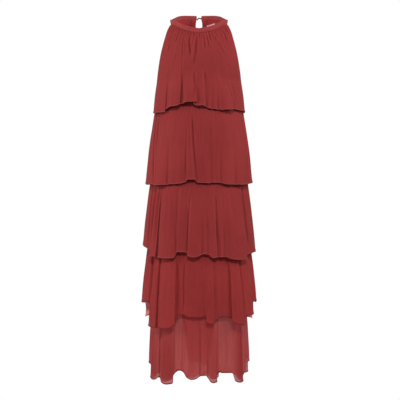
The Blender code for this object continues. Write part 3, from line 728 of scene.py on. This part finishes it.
def addFlounce(look, paint):
    # a flounce all round: evenly gathered at its seam, spread into its folds at the hem
    curve = hemCurve(look)
    along = curve["along"]
    spacing = look["spacing"] * mm
    top = look["sections"][0].z * mm
    length = top - (look["line"] - curve["drop"]) * mm
    below = rowDistances(length, look["rows"])
    reach = np.clip(curve["reach"], look["leastReach"], 1)
    grown = np.clip((below / length - (1 - reach)) / reach, 0, 1) ** look["growth"]
    angle = curve["topAngle"] + (curve["angle"] - curve["topAngle"]) * grown
    z = top - below
    point, normal = ringPoint(look["sections"], angle, z, np.cos(np.radians(angle)) >= 0)
    relief = ripples(along, below, look["seed"], **look["gathers"])
    relief = relief + drapeWaves(along, below, look["seed"] + 1, look["waves"])
    relief = relief * ease(np.minimum(along, along[-1] - along) / look["join"])
    relief = curve["out"] * mm * grown + relief + creaseRelief(look["creases"], angle, z)
    lobe = rowMean(relief[:, :-1] / look["fullLobe"], look["lobeReach"], spacing, True)
    marks = np.stack([hollowness(relief[:, :-1], spacing, True), lobe], -1)
    up = length - below
    grid = point + normal * (relief + hemRelief(up))[..., None]
    grid, up, marks = hemBack(grid[:, :-1], up[:, :-1], marks, True)
    across = along[None] + np.zeros((len(up), 1))
    hollow, lobe = marks[..., 0], marks[..., 1]
    piece = addGrid(look["name"], grid, across, up, paint, closed=True, hollow=hollow, lobe=lobe)
    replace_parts(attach(piece, "root"), *look["nodes"])


secondFlounce = {
    **flounced, "name": "flounce_2", "nodes": ("tier2_front", "tier2_back"),
    "line": -545, "growth": 0.8, "seed": 41,
    "sections": [
        Section(-258, 143.5, 0, 112, 0, 98), Section(-306, 151, 0, 118, 0, 104),
        Section(-420, 167.6, 0, 128.5, 0, 116), Section(-545, 179.5, 0, 140.5, 0, 131)],
    "folds": [
        (-88, -60, 4, 0, 2, -3, 3, 5, 0.85), (-57, -38, 4, 0, 1, 7, 7, 7, 0.7),
        (-36, -15, -3, -3, 2, 7, 4, -1, 0.5), (-13.5, -4, 4, 0, 1, -8, -10, -9, 0.4),
        (-2.5, 11, -2, 0, 1, -2, 1, 2, 0.5), (13, 24, -3.5, 0, 1, 1, 0, 1, 0.5),
        (28, 41, 2, 0, 1, 4, 6, 6, 0.6), (44, 56, 5, 2, 3, 6, 6, 6, 0.7),
        (60, 88, 4, 0, 2, 5, 1, -14, 0.85),
        (92, 108, 4, 3, 3, -14, -4, 1, 0.85), (112, 127, 5, 0, 3, 3, 5, 2, 0.8),
        (130, 139, 1, -3, 3, -3, -7, -8, 0.7), (142, 156, 5, 4, 4, -5, -3, 0, 0.8),
        (159, 171, 3, 0, 2, 3, 5, 4, 0.7), (174, 187, 4, -3, 3, 0, -4, -3, 0.75),
        (190, 207, 4, 3, 3, -1, 4, 6, 0.7), (210, 224, 5, 3, 4, 5, 2, -2, 0.8),
        (228, 243, 2, 0, 2, -3, 1, 3, 0.7), (246, 268, 5, 0, 2, 4, 4, -8, 0.85)],
    "creases": [
        (-8.6, -2.7, -310, -562, 2.2, 1.2), (-14.2, -14.6, -350, -545, 1.2, 1.0),
        (2, 3, -330, -540, 0.7, 1.6), (12, 14, -320, -540, 0.6, 1.8),
        (-68, -58.5, -300, -565, 3.2, 1.3), (-63.5, -54, -300, -565, -2.2, 1.3),
        (-74, -74, -300, -560, 0.8, 2.0), (-44, -42, -320, -420, 0.7, 2.4),
        (23, 23, -400, -540, 0.9, 4.5), (75.5, 74, -300, -565, 3.2, 1.5),
        (70, 68.5, -300, -565, -2.2, 1.5), (64, 62, -330, -560, 0.8, 2.0),
        (-28, -27, -340, -530, 0.5, 2.4)],
}

thirdFlounce = {
    **flounced, "name": "flounce_3", "nodes": ("tier3_front", "tier3_back"),
    "line": -780, "growth": 0.75, "seed": 53,
    "sections": [
        Section(-500, 158, 0, 124, 0, 112), Section(-561, 167.6, 0, 131.5, 0, 119.5),
        Section(-670, 180.8, 0, 142, 0, 130), Section(-780, 190.2, 0, 154, 0, 142)],
    "folds": [
        (-88, -61.5, 5, -6, 5, -41, -26, -15, 0.95), (-57.5, -47.5, 6, 3, 4, 3, 7, 8, 1),
        (-44.5, -25, 5, 0, 2, 10, 12, 9, 1), (-22, -14, 0, -4, 2, -9, -9, -9, 0.9),
        (-11.3, 2, 5, 0, 1, 2, 7, -1, 0.9), (4, 8, 0.5, 0, 1, -3, -3, -2, 0.7),
        (10, 18, 4, 3, 3, 0, 9, 8, 0.8), (20.5, 25, 2.5, 0, 1, 7, 7, 7, 0.5),
        (28, 55, 6, 4, 5, 8, 17, 18, 0.9), (61, 88, 5, 0, 3, 0, -4, -9, 0.95),
        (92, 105, 5, -4, 5, -9, -4, 0, 0.9), (108, 122, 6, 4, 4, 2, 8, 10, 0.95),
        (126, 139, 4, 0, 3, 8, 4, 0, 0.85), (142, 150, -2, -4, 4, -5, -8, -8, 0.9),
        (153, 170, 5, 0, 3, -2, 5, 9, 0.9), (174, 186, 5, 3, 4, 11, 12, 6, 0.9),
        (190, 203, 3, 0, 2, 0, -5, -7, 0.8), (206, 220, 6, -4, 4, 0, 5, 9, 0.9),
        (223, 240, 5, 3, 4, 11, 11, 4, 0.9), (244, 268, 5, 0, 3, 2, -18, -41, 0.95)],
    "creases": [
        (-9.6, -11.8, -575, -780, 2.0, 0.9), (-56.5, -59, -545, -790, 4.5, 2.2),
        (18, 18.5, -570, -780, 1.4, 1.2),
        (30, 31, -560, -770, 0.6, 2.0), (-36, -35, -570, -760, 0.8, 2.0), (8, 6, -570, -700, 0.6, 2.0),
        (58, 61.5, -545, -780, 4.0, 2.0), (38, 40, -600, -780, 0.7, 2.4), (-46, -46, -600, -790, 1.2, 1.0),
        (-24, -22, -560, -700, 0.6, 1.8), (70, 73, -560, -770, 1.0, 2.0), (-74, -77, -570, -760, 1.0, 2.0),
        (-50, -48, -545, -790, 3.2, 2.2), (-67, -62, -545, -790, 4.0, 1.8)],
}

fourthFlounce = {
    **flounced, "name": "flounce_4", "nodes": ("tier4_front", "tier4_back"),
    "line": -995, "growth": 0.7, "seed": 67,
    "sections": [
        Section(-725, 168, 0, 134, 0, 122), Section(-792, 177.4, 0, 141, 0, 129),
        Section(-890, 187.6, 0, 151, 0, 139), Section(-995, 193.4, 0, 162, 0, 150)],
    "folds": [
        (-88, -62, 6, -5, 5, -50, -50, -54, 1), (-57, -46, 8, 3, 4, 18, 25, 27, 1),
        (-43, -23.5, 9, 2, 3, 26, 25, 11, 1), (-21, -15.5, -3, 0, 2, -6, -20, -21, 0.95),
        (-14, 6.5, -2.5, 0, 1, -19, -12, -17, 0.8), (7.5, 14.5, 4.5, 2, 2, 5, 8, 5, 0.85),
        (17, 29, -3, -3, 3, -4, -13, -12, 0.9), (33, 48, 9, 5, 5, 3, 13, 22, 1),
        (53, 69.5, 4, 3, 3, -9, -11, -15, 0.95), (74, 88, 6, 0, 3, -54, -55, -47, 1),
        (93, 107, 1, 0, 1, -48, -46, -42, 1), (110, 121, 6, 1, 5, 15, 15, 14, 1),
        (124, 137, 6, 4, 4, 16, 14, 4, 1), (141, 152, -3, -3, 3, -8, -14, -12, 0.9),
        (155, 174, 6, 0, 3, -4, 8, 13, 0.95), (178, 188, 4, -3, 3, 8, -2, -8, 0.9),
        (192, 207, 6, 4, 4, -12, -4, 4, 1), (210, 228, 7, 3, 4, 10, 17, 10, 1),
        (232, 251, 8, 0, 3, 0, 8, 10, 0.9), (255, 266, 0, 0, 1, -42, -46, -49, 1)],
    "creases": [
        (-15, -15, -790, -975, 1.2, 1.2), (-55, -57, -780, -960, 4.5, 2.2),
        (-46, -46.5, -790, -1015, 1.4, 1.0),
        (16, 16, -790, -1000, 1.0, 1.4), (38, 36, -860, -1005, 0.9, 1.8), (47.5, 51.5, -780, -1010, 3.6, 1.8),
        (-33, -34, -800, -1000, 0.8, 1.8), (-4, -3, -820, -980, 0.6, 2.4), (-70, -72, -800, -940, 1.0, 2.4),
        (66, 65, -820, -990, 1.0, 2.0), (-22, -21.5, -800, -980, 0.8, 1.6),
        (-60, -59.5, -750, -1010, 6.5, 1.6)],
}

# shows little of what is behind it: alpha is its cover and thin that of its free hem, through
# the share of light let through, and hemThrough how much more the free hem lets through
fourthLook = {
    **chiffon, "thin": 0.72, "alpha": 0.97, "through": 0.22, "hemThrough": 0.4, "freeSides": True,
    "glow": (0.85, 0.15, 0.14, 1), "bright": (0.42, 0.055, 0.052), "dark": (0.298, 0.0226, 0.0235),
    # pale here is the painted darker outline of the hem's edge
    "light": (0.345, 0.0298, 0.0300), "pale": (0.16, 0.012, 0.013),
}

fifthFlounce = {
    **flounced, "name": "flounce_5", "nodes": ("tier5_front", "tier5_back"),
    "line": -1175, "growth": 0.6, "seed": 79,
    "sections": [
        Section(-915, 155, 0, 134, 0, 120), Section(-1010, 162, 0, 149, 0, 132),
        Section(-1090, 165.5, 0, 152, 0, 136), Section(-1175, 167, 0, 154, 0, 140)],
    "folds": [
        (-88, -76, 4, -3, 4, -28, -25, -22, 1), (-72, -52.5, 6, 5, 5, 15, 23, 13, 0.85),
        (-49, -29.5, 8, 6, 3, 14, 29, 22, 0.85), (-28, -20, -3, 0, 2, -10, -19, -17, 1),
        (-17, 0, 2.5, 0, 1.5, -12, 9, 0, 0.95), (2, 8, 2, 0, 1, -3, -4, -4, 0.8),
        (10.5, 20.5, 4, 3, 2, 6, 20, 16, 1), (23, 42, -3, 0, 1, -13, -8, -4, 0.95),
        (44.5, 58.5, 8, 6, 4, 20, 28, 25, 1), (62, 79, 5, 0, 3, 2, 1, 0, 0.95),
        (82, 89, 4, 0, 1, -27, -30, -32, 1),
        (93, 104, 2, 0, 2, -32, -30, -26, 1), (108, 114, 6, 2, 3, 12, 16, 26, 1),
        (116, 131, 8, 7, 4, 44, 58, 44, 1), (135, 153, -3, -5, 3, 34, 34, 36, 0.95),
        (156, 170, 8, 6, 4, 50, 64, 46, 1), (173, 179, 2, 0, 2, 44, 52, 46, 0.8),
        (181, 197, 6, 0, 3, 48, 59, 44, 0.95), (200, 209, -3, -4, 3, 32, 30, 34, 0.95),
        (212, 232, 8, 7, 4, 52, 66, 50, 1), (236, 241, -2, 0, 3, 30, 30, 32, 0.9),
        (243, 255, 6, 4, 4, 40, 45, 10, 1), (259, 268, 4, 0, 2, -8, -18, -27, 1)],
    "creases": [
        (-15, -15, -1000, -1150, 1.2, 1.3), (-8, -7, -980, -1160, 0.6, 1.6), (3, 2, -1010, -1165, 0.7, 1.4),
        (-40, -40, -1010, -1190, 0.6, 1.8), (33, 34, -1010, -1150, 0.6, 2.0),
        (-25, -24, -1000, -1150, 0.5, 2.0),
        (51, 52, -1010, -1190, 0.6, 1.8), (72, 73, -990, -1150, 1.2, 2.2), (-74, -75, -990, -1140, 1.2, 2.2),
        (-50.5, -51, -1000, -1190, 1.6, 1.1), (-62, -64, -1000, -1170, 1.4, 1.2),
        (58, 60, -1000, -1180, 1.4, 1.3), (67, 70, -985, -1185, 2.4, 2.2)],
}

# lets more through: alpha and the darker lobe tone are for its lobes, a painted shade where the cloth would
# lie double and hold back the light
fifthLook = {
    **chiffon, "thin": 0.8, "alpha": 0.97, "through": 0.31, "hemThrough": 0.15,
    "glow": (0.85, 0.17, 0.16, 1), "bright": (0.48, 0.08, 0.075), "dark": (0.385, 0.041, 0.042),
    # pale here is the painted darker outline of the hem's edge
    "light": (0.435, 0.051, 0.051), "pale": (0.18, 0.014, 0.015), "lobeShade": (0.29, 0.024, 0.025),
}


lining = {
    "inset": 2.8,  # from the band's outline
    "ease": 5.5, "clear": 1.6,  # inside the bodice and inside each flounce's seam
    "waist": -258, "rows": 90, "skirtRows": 150, "skirtColumns": 400,
    "follows": 0.2,  # share of the height in which the rows follow the band, as in the bodice
    "seed": 91, "waves": 0.5, "waveRadius": 160, "join": 8,  # the skirt's waves, none at the side seam
    "panels": [
        # piece, node, first and last angle, columns
        ("lining_front", "slip_bodice_front", -90, 90, 200),
        ("lining_back_left", "slip_bodice_back_left", 90, 180, 100),
        ("lining_back_right", "slip_bodice_back_right", 180, 270, 100)],
    "hemSection": Section(-1140, 152, 0, 131, 0, 118),
    # hem: angle, height; it dips at centre front only
    "hemCourse": [
        (-95, -965), (-60, -965), (-30, -965), (-25, -966), (-21, -985), (-17.5, -1040), (-14, -1112),
        (-9, -1128), (0, -1132), (6, -1138), (11, -1128), (15, -1088), (18.5, -1020), (22, -975),
        (27, -965), (60, -965), (275, -965)],
    "dark": (0.36, 0.0285, 0.031), "light": (0.405, 0.035, 0.037), "bright": (0.44, 0.05, 0.05),
    "patches": 7.0, "speckle": 0.2, "crepe": 1500.0, "thread": 0.8 * mm, "relief": 0.05,
    "sheen": 0.15, "sheenRoughness": 0.3, "sheenTint": (1.0, 0.7, 0.66), "alpha": 1.0,
}

# the skirt's lining lets the light through and has no stitched hem
skirtLook = {
    **lining, "alpha": 0.66, "through": 0.5, "hemThrough": 0, "glow": (0.9, 0.25, 0.24, 1),
    "dark": (0.6, 0.12, 0.12), "light": (0.65, 0.14, 0.14), "bright": (0.65, 0.15, 0.15),
}


def takenIn(row, amount):
    # a section made smaller on all sides
    return row._replace(halfWidth=row.halfWidth - amount, front=row.front - amount, back=row.back - amount)


def liningSections():
    # the lining lies inside the bodice and just inside the seam of each flounce
    upper = [takenIn(row, lining["ease"]) for row in bodice["sections"]
             if row.z * mm > body["underarm"] - mm]
    seams = [takenIn(look["sections"][0], lining["clear"])
             for look in (secondFlounce, thirdFlounce, fourthFlounce, fifthFlounce)]
    return upper + seams + [lining["hemSection"]]


def liningPoint(angle, z, isFront, inset=0.0):
    # point on the lining, or so far inside it
    point, normal = hungPoint(liningSections(), angle, z, lining["inset"] * mm, isFront)
    return point - normal * inset


def addLiningBodice(paint):
    # the upper lining, from the neckband down to the waist
    waist = lining["waist"] * mm
    share = np.linspace(0, 1, lining["rows"])[:, None]
    for name, node, first, last, columns in lining["panels"]:
        isFront = last <= 90
        top = np.linspace(first, last, columns)
        start = bandFoot(top) + body["caught"]
        z = start + (waist - start) * share
        angle = top + 0 * z
        if not isFront:
            angle = clearKeyhole(liningSections(), angle, z, 1 if last <= 180 else -1)
            shift = bandFoot(angle) - bandFoot(top)
            z = z + shift * np.clip(1 - share / lining["follows"], 0, 1)
        grid = liningPoint(angle, z, isFront)
        across, up = measures(grid)
        piece = addGrid(name, grid, across, up, paint)
        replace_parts(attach(piece, "root"), node)


def addLiningSkirt(paint):
    # the lower lining, all round, from the waist down to its dipping hem
    waist = lining["waist"] * mm
    angle = np.linspace(-90, 270, lining["skirtColumns"] + 1)
    angles, heights = zip(*lining["hemCourse"])
    hem = smooth(angle, angles, np.array(heights) * mm)
    z = waist + (hem - waist) * np.linspace(0, 1, lining["skirtRows"])[:, None]
    angle = angle + 0 * z
    point, normal = ringPoint(liningSections(), angle, z, np.cos(np.radians(angle)) >= 0)
    along = np.radians(angle) * (lining["waveRadius"] * mm)
    join = ease(np.minimum(angle + 90, 270 - angle) / lining["join"])
    relief = drapeWaves(along, waist - z, lining["seed"], lining["waves"]) * join
    grid = point + normal * relief[..., None]
    across, up = measures(grid)
    piece = addGrid("lining_skirt", grid[:, :-1], across, up[:, :-1], paint, closed=True)
    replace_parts(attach(piece, "root"), "slip_skirt_front", "slip_skirt_back")


band = {
    "stations": 300, "around": 28,
    "closing": 0.8,  # degrees over which both ends are drawn in
    "roundness": (0.6, 0.4),  # of its thickness and of its height: 1 for an oval, 0 for an oblong
    "dark": (0.30, 0.031, 0.034), "light": (0.345, 0.039, 0.041), "bright": (0.33, 0.05, 0.05),
    "patches": 40.0, "speckle": 0.3, "crepe": 900.0, "relief": 0.2,
    "sheen": 0.25, "sheenRoughness": 0.45, "sheenTint": (1, 0.62, 0.58),
}


def addTube(name, rings, material):
    # closed sections carried along a path and capped at both ends: rings [station, around]
    stations, around = rings.shape[:2]
    last = (stations - 1) * around
    faces = gridFaces(stations, around, True)[0][:, [0, 3, 2, 1]].tolist()
    faces.append(list(range(around))[::-1])
    faces.append(list(range(last, last + around)))
    return addMesh(name, rings.reshape(-1, 3), faces, material)


def rounded(value, power):
    # one coordinate of a rounded oblong: a power of a sine or cosine that keeps its sign
    return np.sign(value) * np.abs(value) ** power


def bandPaint():
    # the chiffon folded: a little paler, with slow soft swellings
    paint, _, patches, crepe, tone = clothBase("bandCloth", band)
    swelling = paint.bump(crepe * 0.7 + patches * 1.5, band["relief"] * mm)
    return paint.finish(Base_Color=tone, Roughness=0.68 + crepe * 0.2, Normal=swelling)


def addNeckband():
    # a rounded oblong section, drawn in at both ends, carried along the neck's course
    end = body["bandEnd"]
    angle = np.linspace(-end, end, band["stations"])
    turn = np.linspace(0, 2 * np.pi, band["around"], endpoint=False)
    half = body["bandThickness"] / 2
    tall = body["bandHeight"] / 2
    near = np.clip(1 - (end - np.abs(angle)) / band["closing"], 0, 1)
    closing = np.sqrt(np.clip(1 - near ** 2, 0.02, 1))[:, None]
    thick, high = band["roundness"]
    inset = half - half * rounded(np.cos(turn), thick) * closing
    rise = -tall + tall * rounded(np.sin(turn), high) * (0.6 + 0.4 * closing)
    inset = inset + bandLean(angle)[:, None] * (-rise / body["bandHeight"]) ** 1.5
    point = bandPoint(angle[:, None] + 0 * inset, inset)
    point[..., 2] = courseHeight(angle)[:, None] + rise
    piece = addTube("neckband_cloth", point, bandPaint())
    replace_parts(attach(piece, "root"), "neckband")
    print("neckband", len(piece.data.polygons), "faces")


facing = {"width": 13 * mm, "inset": 2.1 * mm, "thickness": 0.7 * mm, "sewnIn": 0.1 * mm}


def addKeyholeFacing(paint):
    # a strip round the inside of the keyhole: down one side, round its foot and up again
    turns = np.radians(np.linspace(0, 90, 24))
    upper = np.linspace(bandFoot(180.0), keyhole["wideZ"], 12)[:-1]
    down = np.concatenate([upper, keyhole["wideZ"] - keyhole["drop"] * np.sin(turns)])
    across = np.concatenate([keyholeEdge(upper), keyhole["half"] * np.cos(turns)])
    outline = np.stack([np.append(-across, across[-2::-1]), np.append(down, down[-2::-1])], -1)
    tangent = np.gradient(outline, axis=0)
    tangent[[0, -1]] = ((0, -1), (0, 1))
    aside = unit(np.stack([tangent[:, 1], -tangent[:, 0]], -1))
    flat = outline + aside * np.linspace(facing["sewnIn"], facing["width"], 8)[:, None, None]
    half, _ = ringPoint(liningSections(), 90 + 0 * flat[..., 1], flat[..., 1], False)
    angle = 180 - np.degrees(np.arcsin(flat[..., 0] / half[..., 0]))
    grid = liningPoint(angle, flat[..., 1], False, facing["inset"])[:, ::-1]
    across, up = measures(grid)
    piece = addGrid("keyhole_strip", grid, across, up, paint)
    thicken(piece, facing["thickness"])
    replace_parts(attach(piece, "root"), "keyhole_facing")


label = {
    "angles": (163.0, 144.0), "top": (1.6, 7.8), "height": 42, "inset": 2.1, "thickness": 0.6,
    "bow": 1.2, "rib": 0.7, "rows": 30, "columns": 24,
    "pale": (0.86, 0.40, 0.385), "paler": (0.92, 0.46, 0.44),
}


def addLabel():
    # a blank folded tape, sewn along its top edge, that bows a little away from the lining
    columns = label["columns"]
    angle = np.linspace(*label["angles"], columns)[::-1]
    top = np.linspace(*label["top"], columns)[::-1] * mm
    share = np.linspace(0, 1, label["rows"])[:, None]
    z = top - label["height"] * mm * share
    bow = label["bow"] * mm * np.sin(np.pi * share) * np.sin(np.pi * np.linspace(0, 1, columns))
    grid = liningPoint(angle + 0 * z, z, False, (label["inset"] * mm + bow)[..., None])
    across, up = measures(grid)
    paint = Paint("blankTape", Sheen_Weight=0.2, Specular_IOR_Level=0.35)
    _, upTape = paint.cloth()
    ribs = (upTape * (2 * np.pi / (label["rib"] * mm))).sine()
    grain = paint.noise(paint.place(), 1200.0)
    tone = paint.mix(grain, label["pale"], label["paler"])
    weave = paint.bump(ribs * 0.5 + grain, 0.08 * mm)
    material = paint.finish(Base_Color=tone, Roughness=0.5 + grain * 0.15, Normal=weave)
    piece = addGrid("blank_label", grid, across, up, material)
    thicken(piece, label["thickness"] * mm)
    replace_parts(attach(piece, "root"), "label")


def outsideBand(x, away):
    # point and outward direction beyond the outer face of the back of the band
    wide, deep = body["bandHalfWidth"], body["bandBack"]
    turn = np.arcsin(x / wide)
    outward = unit(np.stack([deep * np.sin(turn), wide * np.cos(turn), 0 * turn], -1))
    face = np.stack([x, deep * np.cos(turn), 0 * turn], -1)
    return face + outward * away[..., None], outward


def bandMiddle():
    # height of the band's middle at centre back
    return courseHeight(180.0) - body["bandHeight"] / 2


def trimPaint(name, look):
    # plain cloth of a small part: one fine grain moves its tone, roughness and height
    paint = Paint(name, Sheen_Weight=look["sheen"], Specular_IOR_Level=look["specular"])
    grain = paint.noise(paint.place(), *look["grain"])
    base, gain = look["rough"]
    return paint.finish(Base_Color=paint.mix(grain, look["dark"], look["light"]),
                        Roughness=base + grain * gain, Normal=paint.bump(grain, look["relief"] * mm))


button = {
    "x": 14.5, "sides": 40, "dark": (0.2, 0.022, 0.023), "light": (0.29, 0.038, 0.038),
    "sheen": 0.3, "specular": 0.35, "grain": (900.0, 2.0, 0.65), "rough": (0.55, 0.2), "relief": 0.12,
    # radius, distance from the band
    "profile": [
        (0.05, 0.3), (1.6, 0.3), (1.8, 0.5), (1.8, 2.3), (2.2, 2.65), (4.3, 2.75), (5.2, 3.1),
        (5.5, 3.7), (5.45, 4.3), (5.1, 5.0), (4.2, 5.7), (2.9, 6.2), (1.4, 6.45), (0.05, 6.5)],
}


def addButton():
    # a dome covered in cloth, with its neck towards the band
    centre, outward = outsideBand(np.array(button["x"] * mm), np.array(0.0))
    centre = centre + (0, 0, bandMiddle())
    sideways = np.cross((0, 0, 1), outward)
    radius, height = np.array(button["profile"]).T * mm
    turns = np.linspace(0, 2 * np.pi, button["sides"], endpoint=False)
    ring = sideways * np.cos(turns)[:, None] + np.array([0, 0, 1]) * np.sin(turns)[:, None]
    rings = centre + ring * radius[:, None, None] + outward * height[:, None, None]
    piece = addTube("covered_button", rings, trimPaint("buttonCloth", button))
    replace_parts(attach(piece, "root"), "button")
    print("button", len(piece.data.polygons), "faces")


cord = {
    "radius": 0.98, "turn": 2.9, "sides": 12, "stations": 120,
    "dark": (0.05, 0.006, 0.007), "light": (0.11, 0.013, 0.014), "sheen": 0.2, "specular": 0.25,
    "grain": (1400.0, 2.0, 0.5), "rough": (0.7, 0.1), "relief": 0.1,
    # across, outside the band, height, half the space between the strands
    "course": [
        (-6.95, -1.3, 20.6, 1.0), (-4.6, -0.9, 24.2, 1.0), (-1, 0.2, 27.2, 1.0), (3, 0.9, 27.0, 1.0),
        (7, 1.2, 25.6, 1.1), (10, 1.2, 26.0, 2.0), (12.5, 1.2, 27.0, 2.8)],
}


def addLoop():
    # a thin turned cord: out along the upper strand, round the button's neck and back
    x, away, z, apart = np.array(cord["course"]).T * mm
    strand = outsideBand(x, away)[0]
    there = strand + np.stack([0 * x, 0 * x, z + apart], -1)
    back = (strand + np.stack([0 * x, 0 * x, z - apart], -1))[::-1]
    turns = np.radians(np.linspace(70, -70, 7))
    bend = outsideBand((button["x"] + cord["turn"] * np.cos(turns)) * mm, away[-1] + 0 * turns)[0]
    bend = bend + np.stack([0 * turns, 0 * turns, bandMiddle() + cord["turn"] * mm * np.sin(turns)], -1)
    path = np.concatenate([there, bend, back])
    index = np.arange(len(path))
    fine = np.linspace(0, len(path) - 1, cord["stations"])
    course = np.stack([smooth(fine, index, path[:, k]) for k in range(3)], -1)
    tangent = unit(np.gradient(course, axis=0))
    side = unit(np.cross(tangent, outsideBand(course[:, 0], 0 * course[:, 0])[1]))
    out = np.cross(side, tangent)
    around = np.linspace(0, 2 * np.pi, cord["sides"], endpoint=False)[None, :, None]
    ring = side[:, None] * np.cos(around) + out[:, None] * np.sin(around)
    rings = course[:, None] + ring * cord["radius"] * mm
    piece = addTube("button_cord", rings, trimPaint("cordCloth", cord))
    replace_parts(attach(piece, "root"), "button_loop")
    print("button loop", len(piece.data.polygons), "faces")


def buildDress():
    # from the outside in, then the small parts at the neck
    addBodice()
    opaque = clothPaint("flounceChiffon", chiffon)
    addFlounce(secondFlounce, opaque)
    addFlounce(thirdFlounce, opaque)
    addFlounce(fourthFlounce, clothPaint("fourthChiffon", fourthLook))
    addFlounce(fifthFlounce, clothPaint("fifthChiffon", fifthLook))
    plain = clothPaint("liningCloth", lining)
    addLiningBodice(plain)
    addLiningSkirt(clothPaint("skirtLiningCloth", skirtLook))
    addNeckband()
    addKeyholeFacing(plain)
    addLabel()
    addButton()
    addLoop()


buildDress()


# in metres and watts, the sensor in millimetres
studio = {
    "cameraPlace": (0.0034, -3.2, -0.602), "seenWidth": 1.36, "sensor": 36,
    "floorHeight": -1.42, "floorHalf": 30, "floorTone": 0.35, "worldLight": 0.16,
    "lights": [
        # name, place, what it is turned to, width and height, power
        ("leftBox", (-2.2, -0.5, 0.2), (0, 0, -0.5), (0.8, 1.8), 35),
        ("rightBox", (1.9, -0.5, 0.5), (0, 0, -0.4), (0.8, 1.4), 25),
        ("keyBox", (0.3, -4.6, 2.9), (0, 0, -0.75), (0.7, 0.6), 184),
        ("backBox", (0, 4.5, 0.3), (0, 0, -0.7), (1.4, 1.6), 170)],
}


def addCamera():
    # level, facing +Y; the width of the view is measured where the dress stands
    data = bpy.data.cameras.new("camera")
    data.sensor_width = studio["sensor"]
    data.lens = studio["sensor"] * -studio["cameraPlace"][1] / studio["seenWidth"]
    item = bpy.data.objects.new("camera", data)
    item.location = studio["cameraPlace"]
    item.rotation_euler = (np.radians(90), 0, 0)
    bpy.context.scene.collection.objects.link(item)
    bpy.context.scene.camera = item


def addLights():
    # four soft boxes
    for name, place, target, size, power in studio["lights"]:
        data = bpy.data.lights.new(name, "AREA")
        data.shape = "RECTANGLE"
        data.size, data.size_y = size
        data.energy = power
        item = bpy.data.objects.new(name, data)
        item.location = place
        item.rotation_euler = (Vector(target) - Vector(place)).to_track_quat("-Z", "Y").to_euler()
        bpy.context.scene.collection.objects.link(item)


def addFloor():
    # a floor under the hem that looks white to the camera and grey to the light
    half, z = studio["floorHalf"], studio["floorHeight"]
    tone = studio["floorTone"]
    paint = Paint("paleFloor", Base_Color=(tone, tone, tone, 1), Roughness=0.9, Specular_IOR_Level=0.1)
    glow = paint.add("Emission", {}, {"Color": (1, 1, 1, 1), "Strength": 1.0}, 0)
    paint.cover(paint.add("LightPath", {}, {}, "Is Camera Ray"), glow)
    corners = np.array([(-half, -half, z), (half, -half, z), (half, half, z), (-half, half, z)])
    addMesh("floor", corners, [[0, 1, 2, 3]], paint.material)


def addWorld():
    # white surroundings for the camera, a much weaker white light for the cloth
    world = bpy.data.worlds.new("studio")
    bpy.context.scene.world = world
    world.use_nodes = True
    sky = Nodes(world.node_tree)
    white = (1, 1, 1, 1)
    lit = sky.tree.nodes["Background"]
    lit.inputs["Color"].default_value = white
    lit.inputs["Strength"].default_value = studio["worldLight"]
    seen = sky.add("Background", {}, {"Color": white, "Strength": 1.0}, 0)
    direct = sky.add("LightPath", {}, {}, "Is Camera Ray")
    both = sky.add("MixShader", {}, {0: direct, 1: Wire(sky, lit.outputs[0]), 2: seen}, 0)
    sky.plug(sky.tree.nodes["World Output"].inputs[0], both)


addCamera()
addFloor()
addWorld()
addLights()
bpy.context.scene.view_settings.view_transform = "Standard"
print("camera, floor and lights placed")
